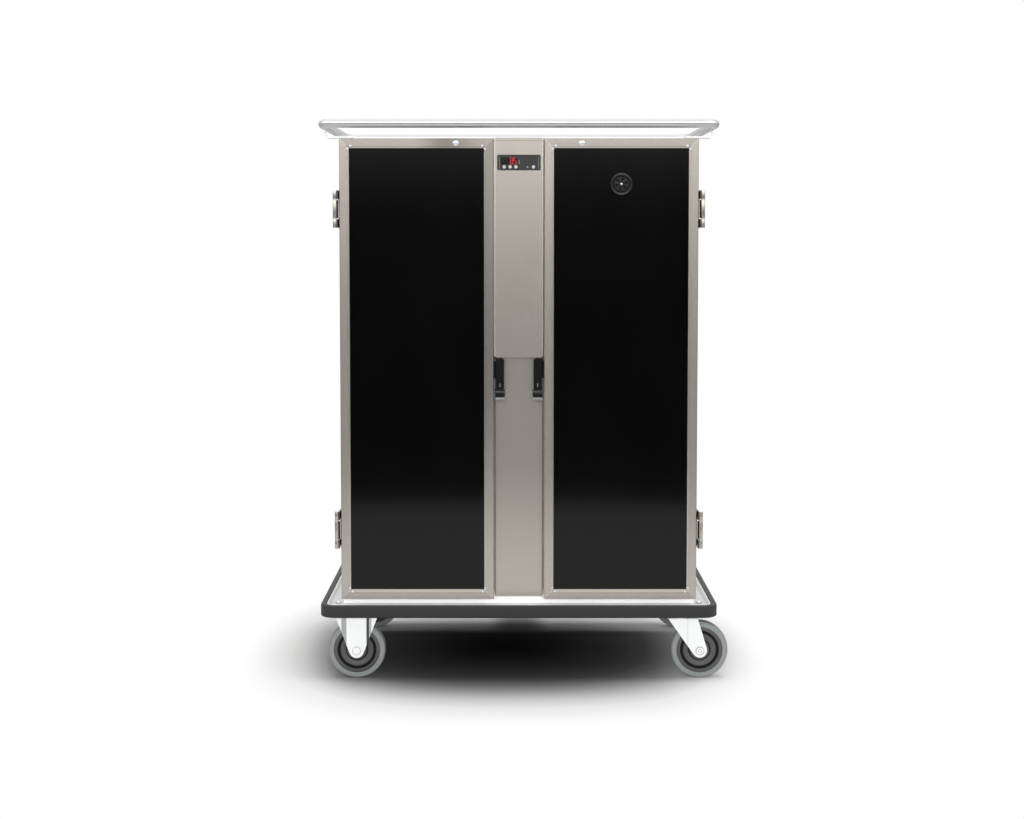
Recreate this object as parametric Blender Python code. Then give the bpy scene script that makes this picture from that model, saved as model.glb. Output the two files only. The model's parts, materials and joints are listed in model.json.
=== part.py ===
"""Insulated two-door food transport cart, modelled as its separate pieces.

Metres, +Z up. The doors face -Y. X and Y are measured from the middle of the deck and Z from
the ground; the whole cart then hangs on one empty that puts the middle of its box at X = 0.
"""

import math

import bmesh
import bpy
from mathutils import Matrix, Vector

# Fits that the pieces share
seat_gap = 0.0003
running_gap = 0.0003
cut_overrun = 0.010
weld_overlap = 0.0006

# Deck, bumper and casters
cart_length = 1.108
cart_depth = 0.800
deck_thickness = 0.009
deck_lip_height = 0.0145
deck_lip_thickness = 0.003
deck_rib_width = 0.060
deck_rib_depth = 0.008
deck_rib_end_inset = 0.204
deck_rib_side_inset = 0.200
bumper_thickness = 0.017
bumper_height = 0.0364
bumper_corner_radius = 0.045
bumper_edge_radius = 0.004
bumper_lip_reach = 0.0065
bumper_lip_rise = 0.002

wheel_radius = 0.080
tyre_width = 0.040
tyre_edge_radius = 0.005
tyre_crown_drop = 0.00125
hub_rim_share = 0.80625
hub_rim_inner_share = 0.68125
hub_ring_outer_share = 0.575
hub_ring_inner_share = 0.3875
hub_boss_share = 0.3375
hub_rim_width = 0.037
hub_ring_width = 0.034
hub_groove_width = 0.022
hub_width = 0.046
axle_radius = 0.006
axle_head_radius = 0.0109
axle_head_height = 0.006
fork_thickness = 0.004
fork_side_gap = 0.0025
fork_foot_radius = 0.0205
wheel_headroom = 0.0064
caster_plate_length = 0.135
caster_plate_width = 0.100
caster_plate_thickness = 0.004
caster_plate_corner = 0.008
caster_end_clearance = 0.008
caster_side_clearance = 0.0015
fixed_fork_inset = 0.0035
fixed_rib_outer = 0.042
fixed_rib_inner = 0.028
fixed_rib_rise = 0.004
swivel_trail = 0.053
swivel_fork_front = 0.036
swivel_fork_back = 0.047
swivel_crease = 0.020
swivel_crease_rise = 0.002
swivel_crown_thickness = 0.004
swivel_crown_half_length = 0.043
swivel_crown_radius = 0.018
swivel_race_height = 0.017
swivel_race_radius = 0.036
swivel_race_waist = 0.031
race_level_shares = (0.33, 0.5, 0.75, 1)
kingpin_radius = 0.006
kingpin_head_radius = 0.0105
kingpin_head_height = 0.007

# Cabinet
cabinet_end_margin = 0.0572
cabinet_height = 1.311
cabinet_back_margin = 0.050
wall_thickness = 0.040
duct_width = 0.143
duct_wall_thickness = 0.020
duct_slot_length = 0.160
duct_slot_height = 0.012
duct_slot_pitch = 0.024
duct_slot_inset = 0.070
duct_slot_count = 3
panel_edge_radius = 0.002

# Doors
door_front_margin = 0.050
door_thickness = 0.050
door_top_gap = 0.0027
door_floor_gap = 0.0243
doors_apart = 0.140
frame_member = 0.0272
frame_face = 0.0206
frame_edge_radius = 0.0015
frame_step = 0.0015
frame_lip_drop = 0.004
door_skin_thickness = 0.003
gasket_thickness = 0.006
gasket_width = 0.018
gasket_inset = 0.006
gasket_profile_shares = ((0, 0), (0.2, 0.7), (0.4, 1), (0.6, 1), (0.8, 0.7), (1, 0))
door_core_edge_radius = 0.003

# Hinges
hinge_height = 0.1034
hinge_end_distance = 0.1943
hinge_knuckle_height = 0.050
hinge_knuckle_radius = 0.0053
hinge_pin_radius = 0.0035
hinge_washer_radius = 0.0047
hinge_washer_height = 0.0024
hinge_pin_outboard = 0.0125
hinge_leaf_thickness = 0.003
hinge_door_leaf_depth = 0.036
hinge_strap_length = 0.115
hinge_strap_standoff = 0.0042
hinge_joggle_length = 0.012
hinge_cut_clearance = 0.001

# Centre column, controller and power inlet
column_side_gap = 0.0034
column_recess = 0.035
column_upper_height = 0.608
column_sheet = 0.002
column_edge_radius = 0.0035
column_corner_cut = 0.007
column_bend_drop = 0.0087
column_bend_groove = 0.0008
controller_side_margin = 0.0067
controller_height = 0.0423
controller_drop = 0.069
controller_rise = 0.004
controller_corner_radius = 0.004
controller_edge = 0.001
controller_body_inset = 0.0044
controller_body_height = 0.034
controller_body_depth = 0.048
controller_window_width = 0.0446
controller_window_height = 0.0195
controller_window_left = 0.0100
controller_window_up = 0.0043
controller_window_thickness = 0.001
button_radius = 0.0046
button_rise = 0.0020
button_socket_depth = 0.0050
button_travel = 0.0010
button_dome_shares = ((0.5, 1), (0.85, 0.75), (1, 0.35))
button_drop = 0.0123
button_left = 0.0192
button_pitch = 0.0162
button_right = 0.0198
inlet_width = 0.050
inlet_height = 0.036
inlet_flange_thickness = 0.003
inlet_depth = 0.024
inlet_body_width = 0.034
inlet_body_height = 0.026
inlet_socket_width = 0.026
inlet_socket_height = 0.018
inlet_socket_depth = 0.016
inlet_pin_width = 0.0045
inlet_pin_height = 0.0025
inlet_pin_length = 0.008
inlet_pin_pitch = 0.007
inlet_up = 0.110
inlet_end_inset = 0.1968

# Latches
latch_top_drop = 0.0011
latch_lever_offset = 0.0064
latch_lever_width = 0.0223
latch_lever_length = 0.0884
latch_lever_proud = 0.002
latch_lever_wall = 0.0028
latch_nose_radius = 0.007
latch_cheek_depth = 0.011
latch_foot_depth = 0.007
latch_taper_drop = 0.014
latch_top_slope = 0.0055
latch_pivot_radius = 0.0022
latch_knuckle_radius = 0.0040
latch_plate_thickness = 0.0035
latch_plate_height = 0.046
latch_plate_top_drop = 0.0112
latch_body_side_gap = 0.0006
catch_width = 0.0264
catch_offset = 0.0045
catch_base_thickness = 0.005
catch_upper_height = 0.012
catch_mouth_height = 0.0088
catch_lower_height = 0.0112
catch_reach = 0.033
catch_drop = 0.0008

# Vent
vent_radius = 0.0315
vent_top_drop = 0.1252
vent_rim_inner_radius = 0.0280
vent_dish_radius = 0.0210
vent_dish_flare = 0.001
vent_rise = 0.0065
vent_dish_depth = 0.0035
vent_sleeve_radius = 0.0240
vent_sleeve_wall = 0.002
vent_plate_thickness = 0.003
vent_disc_radius = 0.0203
vent_disc_thickness = 0.0025
vent_spindle_radius = 0.0025
vent_slot_outer = 0.0175
vent_slot_inner = 0.0065
vent_slot_count = 6

# Push rail
rail_tube_radius = 0.0125
rail_top_rise = 0.0489
rail_corner_radius = 0.050
bracket_width = 0.040
bracket_thickness = 0.005
bracket_bend_radius = 0.008
bracket_foot_length = 0.080
bracket_end_distance = 0.115

# Pan racks
rack_sheet = 0.0015
rack_ledge_reach = 0.018
rack_ledge_drop = 0.014
rack_front_gap = 0.012
rack_back_gap = 0.0514
rack_level_count = 10
rack_first_level = 0.070
rack_top_margin = 0.060
rack_top_gap = 0.0657
rack_tie_height = 0.020
rack_tie_thickness = 0.003
rack_tie_rise = 0.020

# Heater and fan in the duct
heater_drop = 0.301
heater_plate_length = 0.180
heater_plate_thickness = 0.003
fan_plate_margin = 0.0155
fan_arm_width = 0.010
motor_radius = 0.026
motor_height = 0.045
motor_edge = 0.003
motor_shaft_radius = 0.003
motor_shaft_height = 0.026
heater_ring_inset = 0.009
heater_tube_radius = 0.0045
heater_ring_drop = 0.030
heater_post_radius = 0.003
impeller_hub_radius = 0.014
impeller_hub_height = 0.018
impeller_root_radius = 0.011
impeller_tip_gap = 0.006
impeller_chord = 0.022
impeller_blade_thickness = 0.002
impeller_lift = 0.006
impeller_blade_count = 5

# How finely round shapes are divided
wheel_steps = 24
tube_steps = 12
corner_steps = 5
small_steps = 12
coarse_steps = 6
slot_arc_steps = 3
bend_steps = 4
knuckle_steps = 12
smooth_angle = math.radians(40)
blade_root_tilt = math.radians(42)
blade_tip_tilt = math.radians(24)

# Levels and planes that follow from those sizes
crown_clearance = 2 * wheel_radius + wheel_headroom
race_bottom = crown_clearance + swivel_crown_thickness + seat_gap
plate_bottom = race_bottom + swivel_race_height
deck_bottom = plate_bottom + caster_plate_thickness + seat_gap
deck_top = deck_bottom + deck_thickness
bumper_top = deck_top + deck_lip_height + bumper_lip_rise
bumper_bottom = bumper_top - bumper_height
cabinet_bottom = deck_top + seat_gap
cabinet_top = cabinet_bottom + cabinet_height
floor_top = cabinet_bottom + wall_thickness
ceiling = cabinet_top - wall_thickness
door_bottom = cabinet_bottom + door_floor_gap
door_top = cabinet_top - door_top_gap
door_height = door_top - door_bottom
door_front = door_front_margin - cart_depth / 2
door_back = door_front + door_thickness
cabinet_front = door_back + gasket_thickness + 2 * seat_gap
cabinet_back = cart_depth / 2 - cabinet_back_margin
inner_back = cabinet_back - wall_thickness
side_outer = cart_length / 2 - cabinet_end_margin
side_inner = side_outer - wall_thickness
partition_outer = duct_width / 2 + wall_thickness
door_inner_edge = doors_apart / 2
door_width = side_outer - door_inner_edge
door_middle_x = (side_outer + door_inner_edge) / 2
door_middle_z = (door_top + door_bottom) / 2
skin_front = door_front + frame_step + frame_lip_drop
hinge_pin_x = side_outer + hinge_pin_outboard
hinge_levels = (door_top - hinge_end_distance, door_bottom + hinge_end_distance)
column_half = door_inner_edge - column_side_gap
column_seam = cabinet_top - column_upper_height
column_back = cabinet_front - seat_gap
column_lower_front = door_front + column_recess
controller_level = cabinet_top - controller_drop
controller_width = 2 * (column_half - controller_side_margin)
controller_body_width = controller_width - 2 * controller_body_inset
inlet_across = side_outer - inlet_end_inset
latch_top = column_seam - latch_top_drop
vent_level = door_top - vent_top_drop
rail_outer_x = cart_length / 2
rail_outer_y = cart_depth / 2
rail_level = cabinet_top + rail_top_rise - rail_tube_radius
fork_half_inner = hub_width / 2 + fork_side_gap
bumper_reach = bumper_thickness + bumper_lip_reach
caster_x = cart_length / 2 - bumper_reach - caster_end_clearance - caster_plate_length / 2
caster_y = cart_depth / 2 - bumper_reach - caster_side_clearance - caster_plate_width / 2
hub_rim_radius = wheel_radius * hub_rim_share
hub_rim_inner_radius = wheel_radius * hub_rim_inner_share
hub_ring_outer_radius = wheel_radius * hub_ring_outer_share
hub_ring_inner_radius = wheel_radius * hub_ring_inner_share
hub_boss_radius = wheel_radius * hub_boss_share
fan_hole_radius = duct_width / 2 - fan_plate_margin
right_reach = max(caster_x + swivel_trail + wheel_radius, cart_length / 2)
box_middle_x = (right_reach - cart_length / 2) / 2

materials = {}
places = {}


def add_material(name, colour, roughness, metallic):
    """A Principled material under a plain name."""
    material = bpy.data.materials.new(name)
    material.use_nodes = True
    shader = material.node_tree.nodes["Principled BSDF"]
    shader.inputs["Base Color"].default_value = (*colour, 1)
    shader.inputs["Roughness"].default_value = roughness
    shader.inputs["Metallic"].default_value = metallic
    material.diffuse_color = (*colour, 1)
    materials[name] = material


def add_materials():
    add_material("champagne_metal", (0.34, 0.305, 0.26), 0.42, 0.55)
    add_material("black_laminate", (0.006, 0.006, 0.006), 0.16, 0)
    add_material("chrome_tube", (0.75, 0.75, 0.75), 0.12, 1)
    add_material("zinc_steel", (0.82, 0.83, 0.83), 0.35, 0.8)
    add_material("pale_sheet", (0.62, 0.62, 0.62), 0.45, 0.3)
    add_material("bumper_plastic", (0.042, 0.042, 0.042), 0.55, 0)
    add_material("grey_rubber", (0.25, 0.27, 0.27), 0.7, 0)
    add_material("dark_plastic", (0.075, 0.075, 0.075), 0.45, 0)
    add_material("black_plastic", (0.012, 0.012, 0.012), 0.4, 0)
    add_material("window_glass", (0.015, 0.012, 0.012), 0.1, 0)
    add_material("silver_button", (0.72, 0.72, 0.66), 0.28, 0.7)
    add_material("liner_steel", (0.55, 0.56, 0.57), 0.3, 0.9)
    add_material("rack_steel", (0.57, 0.58, 0.59), 0.25, 0.95)
    add_material("gasket_rubber", (0.03, 0.03, 0.03), 0.8, 0)
    add_material("catch_metal", (0.42, 0.42, 0.42), 0.35, 0.8)


def add_empty(name, parent, place):
    """An empty at a place measured on the cart, for the pieces that move together."""
    empty = bpy.data.objects.new(name, None)
    bpy.context.collection.objects.link(empty)
    places[name] = Vector(place)
    if parent is None:
        empty.location = (-box_middle_x, 0, 0)
    else:
        empty.parent = parent
        empty.location = places[name] - places[parent.name]
    return empty


def add_piece(rings, closed=False):
    """One closed body through rings of points that all have as many points."""
    shape = bmesh.new()
    loops = [[shape.verts.new(point) for point in ring] for ring in rings]
    pairs = list(zip(loops, loops[1:]))
    if closed:
        pairs.append((loops[-1], loops[0]))
    else:
        shape.faces.new(loops[0])
        shape.faces.new(loops[-1])
    for lower, upper in pairs:
        for here in range(len(lower)):
            after = (here + 1) % len(lower)
            shape.faces.new((lower[here], lower[after], upper[after], upper[here]))
    bmesh.ops.recalc_face_normals(shape, faces=shape.faces)
    mesh = bpy.data.meshes.new("piece")
    shape.to_mesh(mesh)
    shape.free()
    piece = bpy.data.objects.new("piece", mesh)
    bpy.context.collection.objects.link(piece)
    return piece


def point_on(axis, across, up, along):
    """A point given across, up and along one of the three axes."""
    if axis == "X":
        return Vector((along, across, up))
    if axis == "Y":
        return Vector((across, along, up))
    return Vector((across, up, along))


def prism(outline, low, high, axis):
    """An outline drawn across an axis and drawn out along it."""
    return add_piece([[point_on(axis, u, v, along) for u, v in outline] for along in (low, high)])


def box(low, high):
    outline = ((low[0], low[1]), (high[0], low[1]), (high[0], high[1]), (low[0], high[1]))
    return prism(outline, low[2], high[2], "Z")


def arc(middle, radius, start, end, steps):
    """Points on an arc, both ends included."""
    turns = [start + (end - start) * step / steps for step in range(steps + 1)]
    return [(middle[0] + radius * math.cos(turn), middle[1] + radius * math.sin(turn)) for turn in turns]


def circle(middle, radius, steps):
    return arc(middle, radius, 0, math.tau, steps)[:-1]


def rounded(middle, half_u, half_v, radius):
    """A rectangle with round corners, or square ones where the radius is zero."""
    outline = []
    for corner, (u, v) in enumerate(((1, 1), (-1, 1), (-1, -1), (1, -1))):
        at = (middle[0] + u * (half_u - radius), middle[1] + v * (half_v - radius))
        start = corner * math.pi / 2
        outline += arc(at, radius, start, start + math.pi / 2, corner_steps) if radius else [at]
    return outline


def turned(stations, axis, middle, steps, bored=False):
    """A body of revolution through (along, radius) stations; a bored one closes on itself."""
    rings = []
    for along, radius in stations:
        rings.append([point_on(axis, u, v, along) for u, v in circle(middle, radius, steps)])
    return add_piece(rings, bored)


def framed(stations, axis, middle, half_u, half_v, radius, closed=True):
    """A profile of (inset, along) stations run round a rectangle with round corners."""
    rings = []
    for inset, along in stations:
        corner = max(radius - inset, 0)
        outline = rounded(middle, half_u - inset, half_v - inset, corner)
        rings.append([point_on(axis, u, v, along) for u, v in outline])
    return add_piece(rings, closed)


def gathered(pieces):
    """Several bodies that don't touch as one tool."""
    shape = bmesh.new()
    for piece in pieces:
        shape.from_mesh(piece.data)
        bpy.data.objects.remove(piece)
    mesh = bpy.data.meshes.new("tool")
    shape.to_mesh(mesh)
    shape.free()
    tool = bpy.data.objects.new("tool", mesh)
    bpy.context.collection.objects.link(tool)
    return tool


def combined(body, tools, operation):
    for tool in tools:
        modifier = body.modifiers.new("combine", "BOOLEAN")
        modifier.operation = operation
        modifier.object = tool
    graph = bpy.context.evaluated_depsgraph_get()
    mesh = bpy.data.meshes.new_from_object(body.evaluated_get(graph))
    body.modifiers.clear()
    body.data = mesh
    for tool in tools:
        bpy.data.objects.remove(tool)
    return body


def joined(body, *tools):
    return combined(body, tools, "UNION")


def cut(body, *tools):
    return combined(body, tools, "DIFFERENCE")


def rounded_edges(piece, width, steps, chosen):
    """Round the edges whose two ends both answer to a test of place."""
    shape = bmesh.new()
    shape.from_mesh(piece.data)
    edges = [edge for edge in shape.edges if all(chosen(vert.co) for vert in edge.verts)]
    bmesh.ops.bevel(shape, geom=edges, offset=width, segments=steps, profile=0.5, affect="EDGES")
    shape.to_mesh(piece.data)
    shape.free()
    return piece


def softened(piece, width):
    """A small bevel on every edge of a plain panel."""
    return rounded_edges(piece, width, 1, lambda place: True)


def finished(name, piece, material, carrier):
    """Name a piece, finish it and hang it on the empty that carries it."""
    piece.name = name
    piece.data.name = name
    piece.data.transform(Matrix.Translation(-places[carrier.name]))
    piece.data.materials.clear()
    piece.data.materials.append(materials[material])
    piece.data.shade_smooth()
    piece.data.set_sharp_from_angle(angle=smooth_angle)
    piece.parent = carrier
    return piece


def make_deck(cart):
    half_x = cart_length / 2 - bumper_thickness - seat_gap
    half_y = cart_depth / 2 - bumper_thickness - seat_gap
    corner = bumper_corner_radius - bumper_thickness
    lip_top = deck_top + deck_lip_height
    stations = ((0, deck_bottom), (0, lip_top), (deck_lip_thickness, lip_top), (deck_lip_thickness, deck_top))
    deck = framed(stations, "Z", (0, 0), half_x, half_y, corner, closed=False)
    ribs = []
    for side in (-1, 1):
        middle = side * (cart_depth / 2 - deck_rib_side_inset)
        reach = cart_length / 2 - deck_rib_end_inset
        low = (-reach, middle - deck_rib_width / 2, deck_bottom - deck_rib_depth)
        high = (reach, middle + deck_rib_width / 2, deck_bottom + weld_overlap)
        ribs.append(box(low, high))
    finished("base_deck", joined(deck, gathered(ribs)), "pale_sheet", cart)

    edge = bumper_edge_radius
    lip_high = deck_bottom - seat_gap
    stations = (
        (edge, bumper_bottom),
        (0, bumper_bottom + edge),
        (0, bumper_top - edge),
        (edge, bumper_top),
        (bumper_thickness - edge / 2, bumper_top),
        (bumper_thickness, bumper_top - edge / 2),
        (bumper_thickness, lip_high),
        (bumper_reach, lip_high),
        (bumper_reach, bumper_bottom),
    )
    bumper = framed(stations, "Z", (0, 0), cart_length / 2, cart_depth / 2, bumper_corner_radius)
    finished("bumper", bumper, "bumper_plastic", cart)


def leg_outline(middle, front, back, top):
    """A fork leg: straight edges from its top that run tangent to the round foot."""
    start = Vector((back - middle[0], top - middle[1]))
    end = Vector((front - middle[0], top - middle[1]))
    right = math.atan2(start.y, start.x) - math.acos(fork_foot_radius / start.length)
    left = math.atan2(end.y, end.x) + math.acos(fork_foot_radius / end.length) - math.tau
    foot = arc(middle, fork_foot_radius, right, left, small_steps // 2)
    return [(back, top)] + foot + [(front, top)]


def pressed_legs(outline, creases, middle_y):
    """Both legs of a fork, pressed along upright creases of (place, rise) and cut to an outline."""
    low = min(v for u, v in outline) - cut_overrun
    high = max(v for u, v in outline) + cut_overrun
    legs = []
    for side in (-1, 1):
        face = fork_half_inner + fork_thickness
        outer = [(u, middle_y + side * (face + rise)) for u, rise in creases]
        inner = [(u, middle_y + side * (face + rise - fork_thickness)) for u, rise in reversed(creases)]
        leg = prism(outer + inner, low, high, "Z")
        reach = face + cut_overrun
        blank = prism(outline, middle_y - reach, middle_y + reach, "Y")
        legs.append(combined(leg, (blank,), "INTERSECT"))
    return legs


def axle(middle_x, middle_y):
    """The axle bolt with a hexagon head outside each leg."""
    face = fork_half_inner + fork_thickness
    shaft_end = face + weld_overlap
    stations = ((middle_y - shaft_end, axle_radius), (middle_y + shaft_end, axle_radius))
    bolt = turned(stations, "Y", (middle_x, wheel_radius), small_steps)
    hexagon = circle((middle_x, wheel_radius), axle_head_radius, coarse_steps)
    for side in (-1, 1):
        near = middle_y + side * (face - weld_overlap)
        far = middle_y + side * (face + axle_head_height)
        bolt = joined(bolt, prism(hexagon, near, far, "Y"))
    return bolt


def make_wheel(name, carrier, middle_x, middle_y):
    """A tread bonded on a ringed plastic hub with a plain bore."""
    at = (middle_x, wheel_radius)
    half_profile = (
        (hub_width / 2, axle_radius + running_gap),
        (hub_width / 2, hub_boss_radius),
        (hub_ring_width / 2, hub_ring_inner_radius),
        (hub_ring_width / 2, hub_ring_outer_radius),
        (hub_groove_width / 2, (hub_ring_outer_radius + hub_rim_inner_radius) / 2),
        (hub_rim_width / 2, hub_rim_inner_radius),
        (hub_rim_width / 2, hub_rim_radius),
    )
    near = [(middle_y - half, radius) for half, radius in half_profile]
    far = [(middle_y + half, radius) for half, radius in reversed(half_profile)]
    hub = turned(near + far, "Y", at, wheel_steps, bored=True)
    finished(name + "_hub", hub, "dark_plastic", carrier)

    inner = hub_rim_radius + seat_gap
    edge = tyre_edge_radius
    half_tread = (
        (tyre_width / 2 - tyre_crown_drop, inner),
        (tyre_width / 2, wheel_radius - edge),
        (tyre_width / 2 - edge, wheel_radius - tyre_crown_drop),
    )
    near = [(middle_y - half, radius) for half, radius in half_tread]
    crown = [(middle_y, wheel_radius)]
    far = [(middle_y + half, radius) for half, radius in reversed(half_tread)]
    tyre = turned(near + crown + far, "Y", at, wheel_steps, bored=True)
    finished(name + "_tyre", tyre, "grey_rubber", carrier)


def caster_plate(middle_x, middle_y):
    half_x = caster_plate_length / 2
    half_y = caster_plate_width / 2
    outline = rounded((middle_x, middle_y), half_x, half_y, caster_plate_corner)
    return prism(outline, plate_bottom, plate_bottom + caster_plate_thickness, "Z")


def make_fixed_caster(place, middle_y, cart):
    middle_x = -caster_x
    top = plate_bottom + weld_overlap
    front = middle_x - caster_plate_length / 2 + fixed_fork_inset
    back = middle_x + caster_plate_length / 2 - fixed_fork_inset
    outline = leg_outline((middle_x, wheel_radius), front, back, top)
    creases = [
        (front, 0),
        (middle_x - fixed_rib_outer, 0),
        (middle_x - fixed_rib_inner, fixed_rib_rise),
        (middle_x + fixed_rib_inner, fixed_rib_rise),
        (middle_x + fixed_rib_outer, 0),
        (back, 0),
    ]
    fork = joined(caster_plate(middle_x, middle_y), *pressed_legs(outline, creases, middle_y))
    bolt = axle(middle_x, middle_y)
    fork = joined(fork, bolt)
    name = "fixed_caster_" + place
    finished(name + "_fork", fork, "zinc_steel", cart)
    wheel = add_empty(name + "_axle", cart, (middle_x, middle_y, wheel_radius))
    make_wheel(name, wheel, middle_x, middle_y)


def make_swivel_caster(place, middle_y, cart):
    """The fork hangs on the kingpin under a ball race and trails the wheel behind it."""
    name = "swivel_caster_" + place
    crown_top = race_bottom - seat_gap
    crown_bottom = crown_top - swivel_crown_thickness
    at = (caster_x, middle_y)
    stations = [(plate_bottom + weld_overlap, swivel_race_radius)]
    for share, radius in zip(race_level_shares, (swivel_race_radius, swivel_race_waist) * 2):
        stations.append((plate_bottom - share * swivel_race_height, radius))
    race = turned(stations, "Z", at, small_steps)
    kingpin = turned(
        (
            (plate_bottom, kingpin_radius),
            (crown_bottom - running_gap, kingpin_radius),
            (crown_bottom - running_gap, kingpin_head_radius),
            (crown_bottom - running_gap - kingpin_head_height, kingpin_head_radius),
        ),
        "Z",
        at,
        small_steps,
    )
    plate = joined(caster_plate(*at), race)
    plate = joined(plate, kingpin)
    finished(name + "_plate", plate, "zinc_steel", cart)

    swivel = add_empty(name + "_swivel", cart, (caster_x, middle_y, crown_top))
    axle_x = caster_x + swivel_trail
    front = caster_x - swivel_fork_front
    back = caster_x + swivel_fork_back
    outline = leg_outline((axle_x, wheel_radius), front, back, crown_top)
    far_edge = axle_x + fork_foot_radius + cut_overrun
    creases = [
        (front - cut_overrun, -swivel_crease_rise),
        (caster_x + swivel_crease, 0),
        (far_edge, 0),
    ]
    half_width = fork_half_inner + fork_thickness
    crown_outline = rounded(
        (caster_x + (swivel_fork_back - swivel_fork_front) / 2, middle_y),
        swivel_crown_half_length,
        half_width,
        swivel_crown_radius,
    )
    crown = prism(crown_outline, crown_bottom, crown_top, "Z")
    fork = joined(crown, *pressed_legs(outline, creases, middle_y))
    hole = turned(
        (
            (crown_bottom - cut_overrun, kingpin_radius + running_gap),
            (crown_top + cut_overrun, kingpin_radius + running_gap),
        ),
        "Z",
        at,
        small_steps,
    )
    fork = cut(fork, hole)
    fork = joined(fork, axle(axle_x, middle_y))
    finished(name + "_fork", fork, "zinc_steel", swivel)
    wheel = add_empty(name + "_axle", swivel, (axle_x, middle_y, wheel_radius))
    make_wheel(name, wheel, axle_x, middle_y)


def make_cabinet(cart):
    """Insulated panels: side panels between floor and roof, the back between the sides."""
    floor = box((-side_outer, cabinet_front, cabinet_bottom), (side_outer, cabinet_back, floor_top))
    finished("floor_panel", softened(floor, panel_edge_radius), "pale_sheet", cart)
    roof = box((-side_outer, cabinet_front, ceiling), (side_outer, cabinet_back, cabinet_top))
    finished("roof_panel", softened(roof, panel_edge_radius), "champagne_metal", cart)
    low_z = floor_top + seat_gap
    high_z = ceiling - seat_gap
    for side, word in ((-1, "left"), (1, "right")):
        near, far = sorted((side * side_inner, side * side_outer))
        panel = box((near, cabinet_front, low_z), (far, cabinet_back, high_z))
        finished("side_panel_" + word, softened(panel, panel_edge_radius), "champagne_metal", cart)
    reach = side_inner - seat_gap
    back = box((-reach, inner_back, low_z), (reach, cabinet_back, high_z))
    socket = box(
        (
            inlet_across - inlet_body_width / 2 - seat_gap,
            cabinet_back - inlet_depth - seat_gap,
            floor_top + inlet_up - inlet_body_height / 2 - seat_gap,
        ),
        (
            inlet_across + inlet_body_width / 2 + seat_gap,
            cabinet_back + cut_overrun,
            floor_top + inlet_up + inlet_body_height / 2 + seat_gap,
        ),
    )
    finished("back_panel", cut(softened(back, panel_edge_radius), socket), "champagne_metal", cart)
    make_inlet(cart)

    partition_back = inner_back - seat_gap
    partition = box((-partition_outer, cabinet_front, low_z), (partition_outer, partition_back, high_z))
    duct = box(
        (-duct_width / 2, cabinet_front + duct_wall_thickness, low_z - cut_overrun),
        (duct_width / 2, partition_back - duct_wall_thickness, high_z + cut_overrun),
    )
    slots = []
    middle_y = (cabinet_front + partition_back) / 2
    for row in range(duct_slot_count):
        for level, way in ((low_z + duct_slot_inset, 1), (high_z - duct_slot_inset, -1)):
            slot_z = level + way * row * duct_slot_pitch
            across = partition_outer + cut_overrun
            low = (-across, middle_y - duct_slot_length / 2, slot_z - duct_slot_height / 2)
            high = (across, middle_y + duct_slot_length / 2, slot_z + duct_slot_height / 2)
            slots.append(box(low, high))
    half_width = controller_body_width / 2 + seat_gap
    half_height = controller_body_height / 2 + seat_gap
    control_hole = box(
        (-half_width, cabinet_front - cut_overrun, controller_level - half_height),
        (half_width, cabinet_front + duct_wall_thickness + cut_overrun, controller_level + half_height),
    )
    partition = cut(partition, duct)
    partition = cut(partition, gathered(slots))
    finished("centre_partition", cut(partition, control_hole), "liner_steel", cart)


def make_inlet(cart):
    """A recessed appliance inlet: flange, body and three flat pins in its socket."""
    level = floor_top + inlet_up
    at = (inlet_across, level)
    face = cabinet_back + seat_gap + inlet_flange_thickness
    flange = prism(
        rounded(at, inlet_width / 2, inlet_height / 2, panel_edge_radius), cabinet_back + seat_gap, face, "Y"
    )
    low = (inlet_across - inlet_body_width / 2, cabinet_back - inlet_depth, level - inlet_body_height / 2)
    high = (inlet_across + inlet_body_width / 2, face - weld_overlap, level + inlet_body_height / 2)
    inlet = joined(flange, box(low, high))
    socket_floor = face - inlet_socket_depth
    low = (inlet_across - inlet_socket_width / 2, socket_floor, level - inlet_socket_height / 2)
    high = (inlet_across + inlet_socket_width / 2, face + cut_overrun, level + inlet_socket_height / 2)
    inlet = cut(inlet, box(low, high))
    pins = []
    for across, up in ((-1, -1), (1, -1), (0, 1)):
        pin_x = inlet_across + across * inlet_pin_pitch
        pin_z = level + up * inlet_pin_pitch / 2
        low = (pin_x - inlet_pin_height / 2, socket_floor - weld_overlap, pin_z - inlet_pin_width / 2)
        high = (pin_x + inlet_pin_height / 2, socket_floor + inlet_pin_length, pin_z + inlet_pin_width / 2)
        pins.append(box(low, high))
    finished("power_inlet", joined(inlet, gathered(pins)), "black_plastic", cart)


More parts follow.
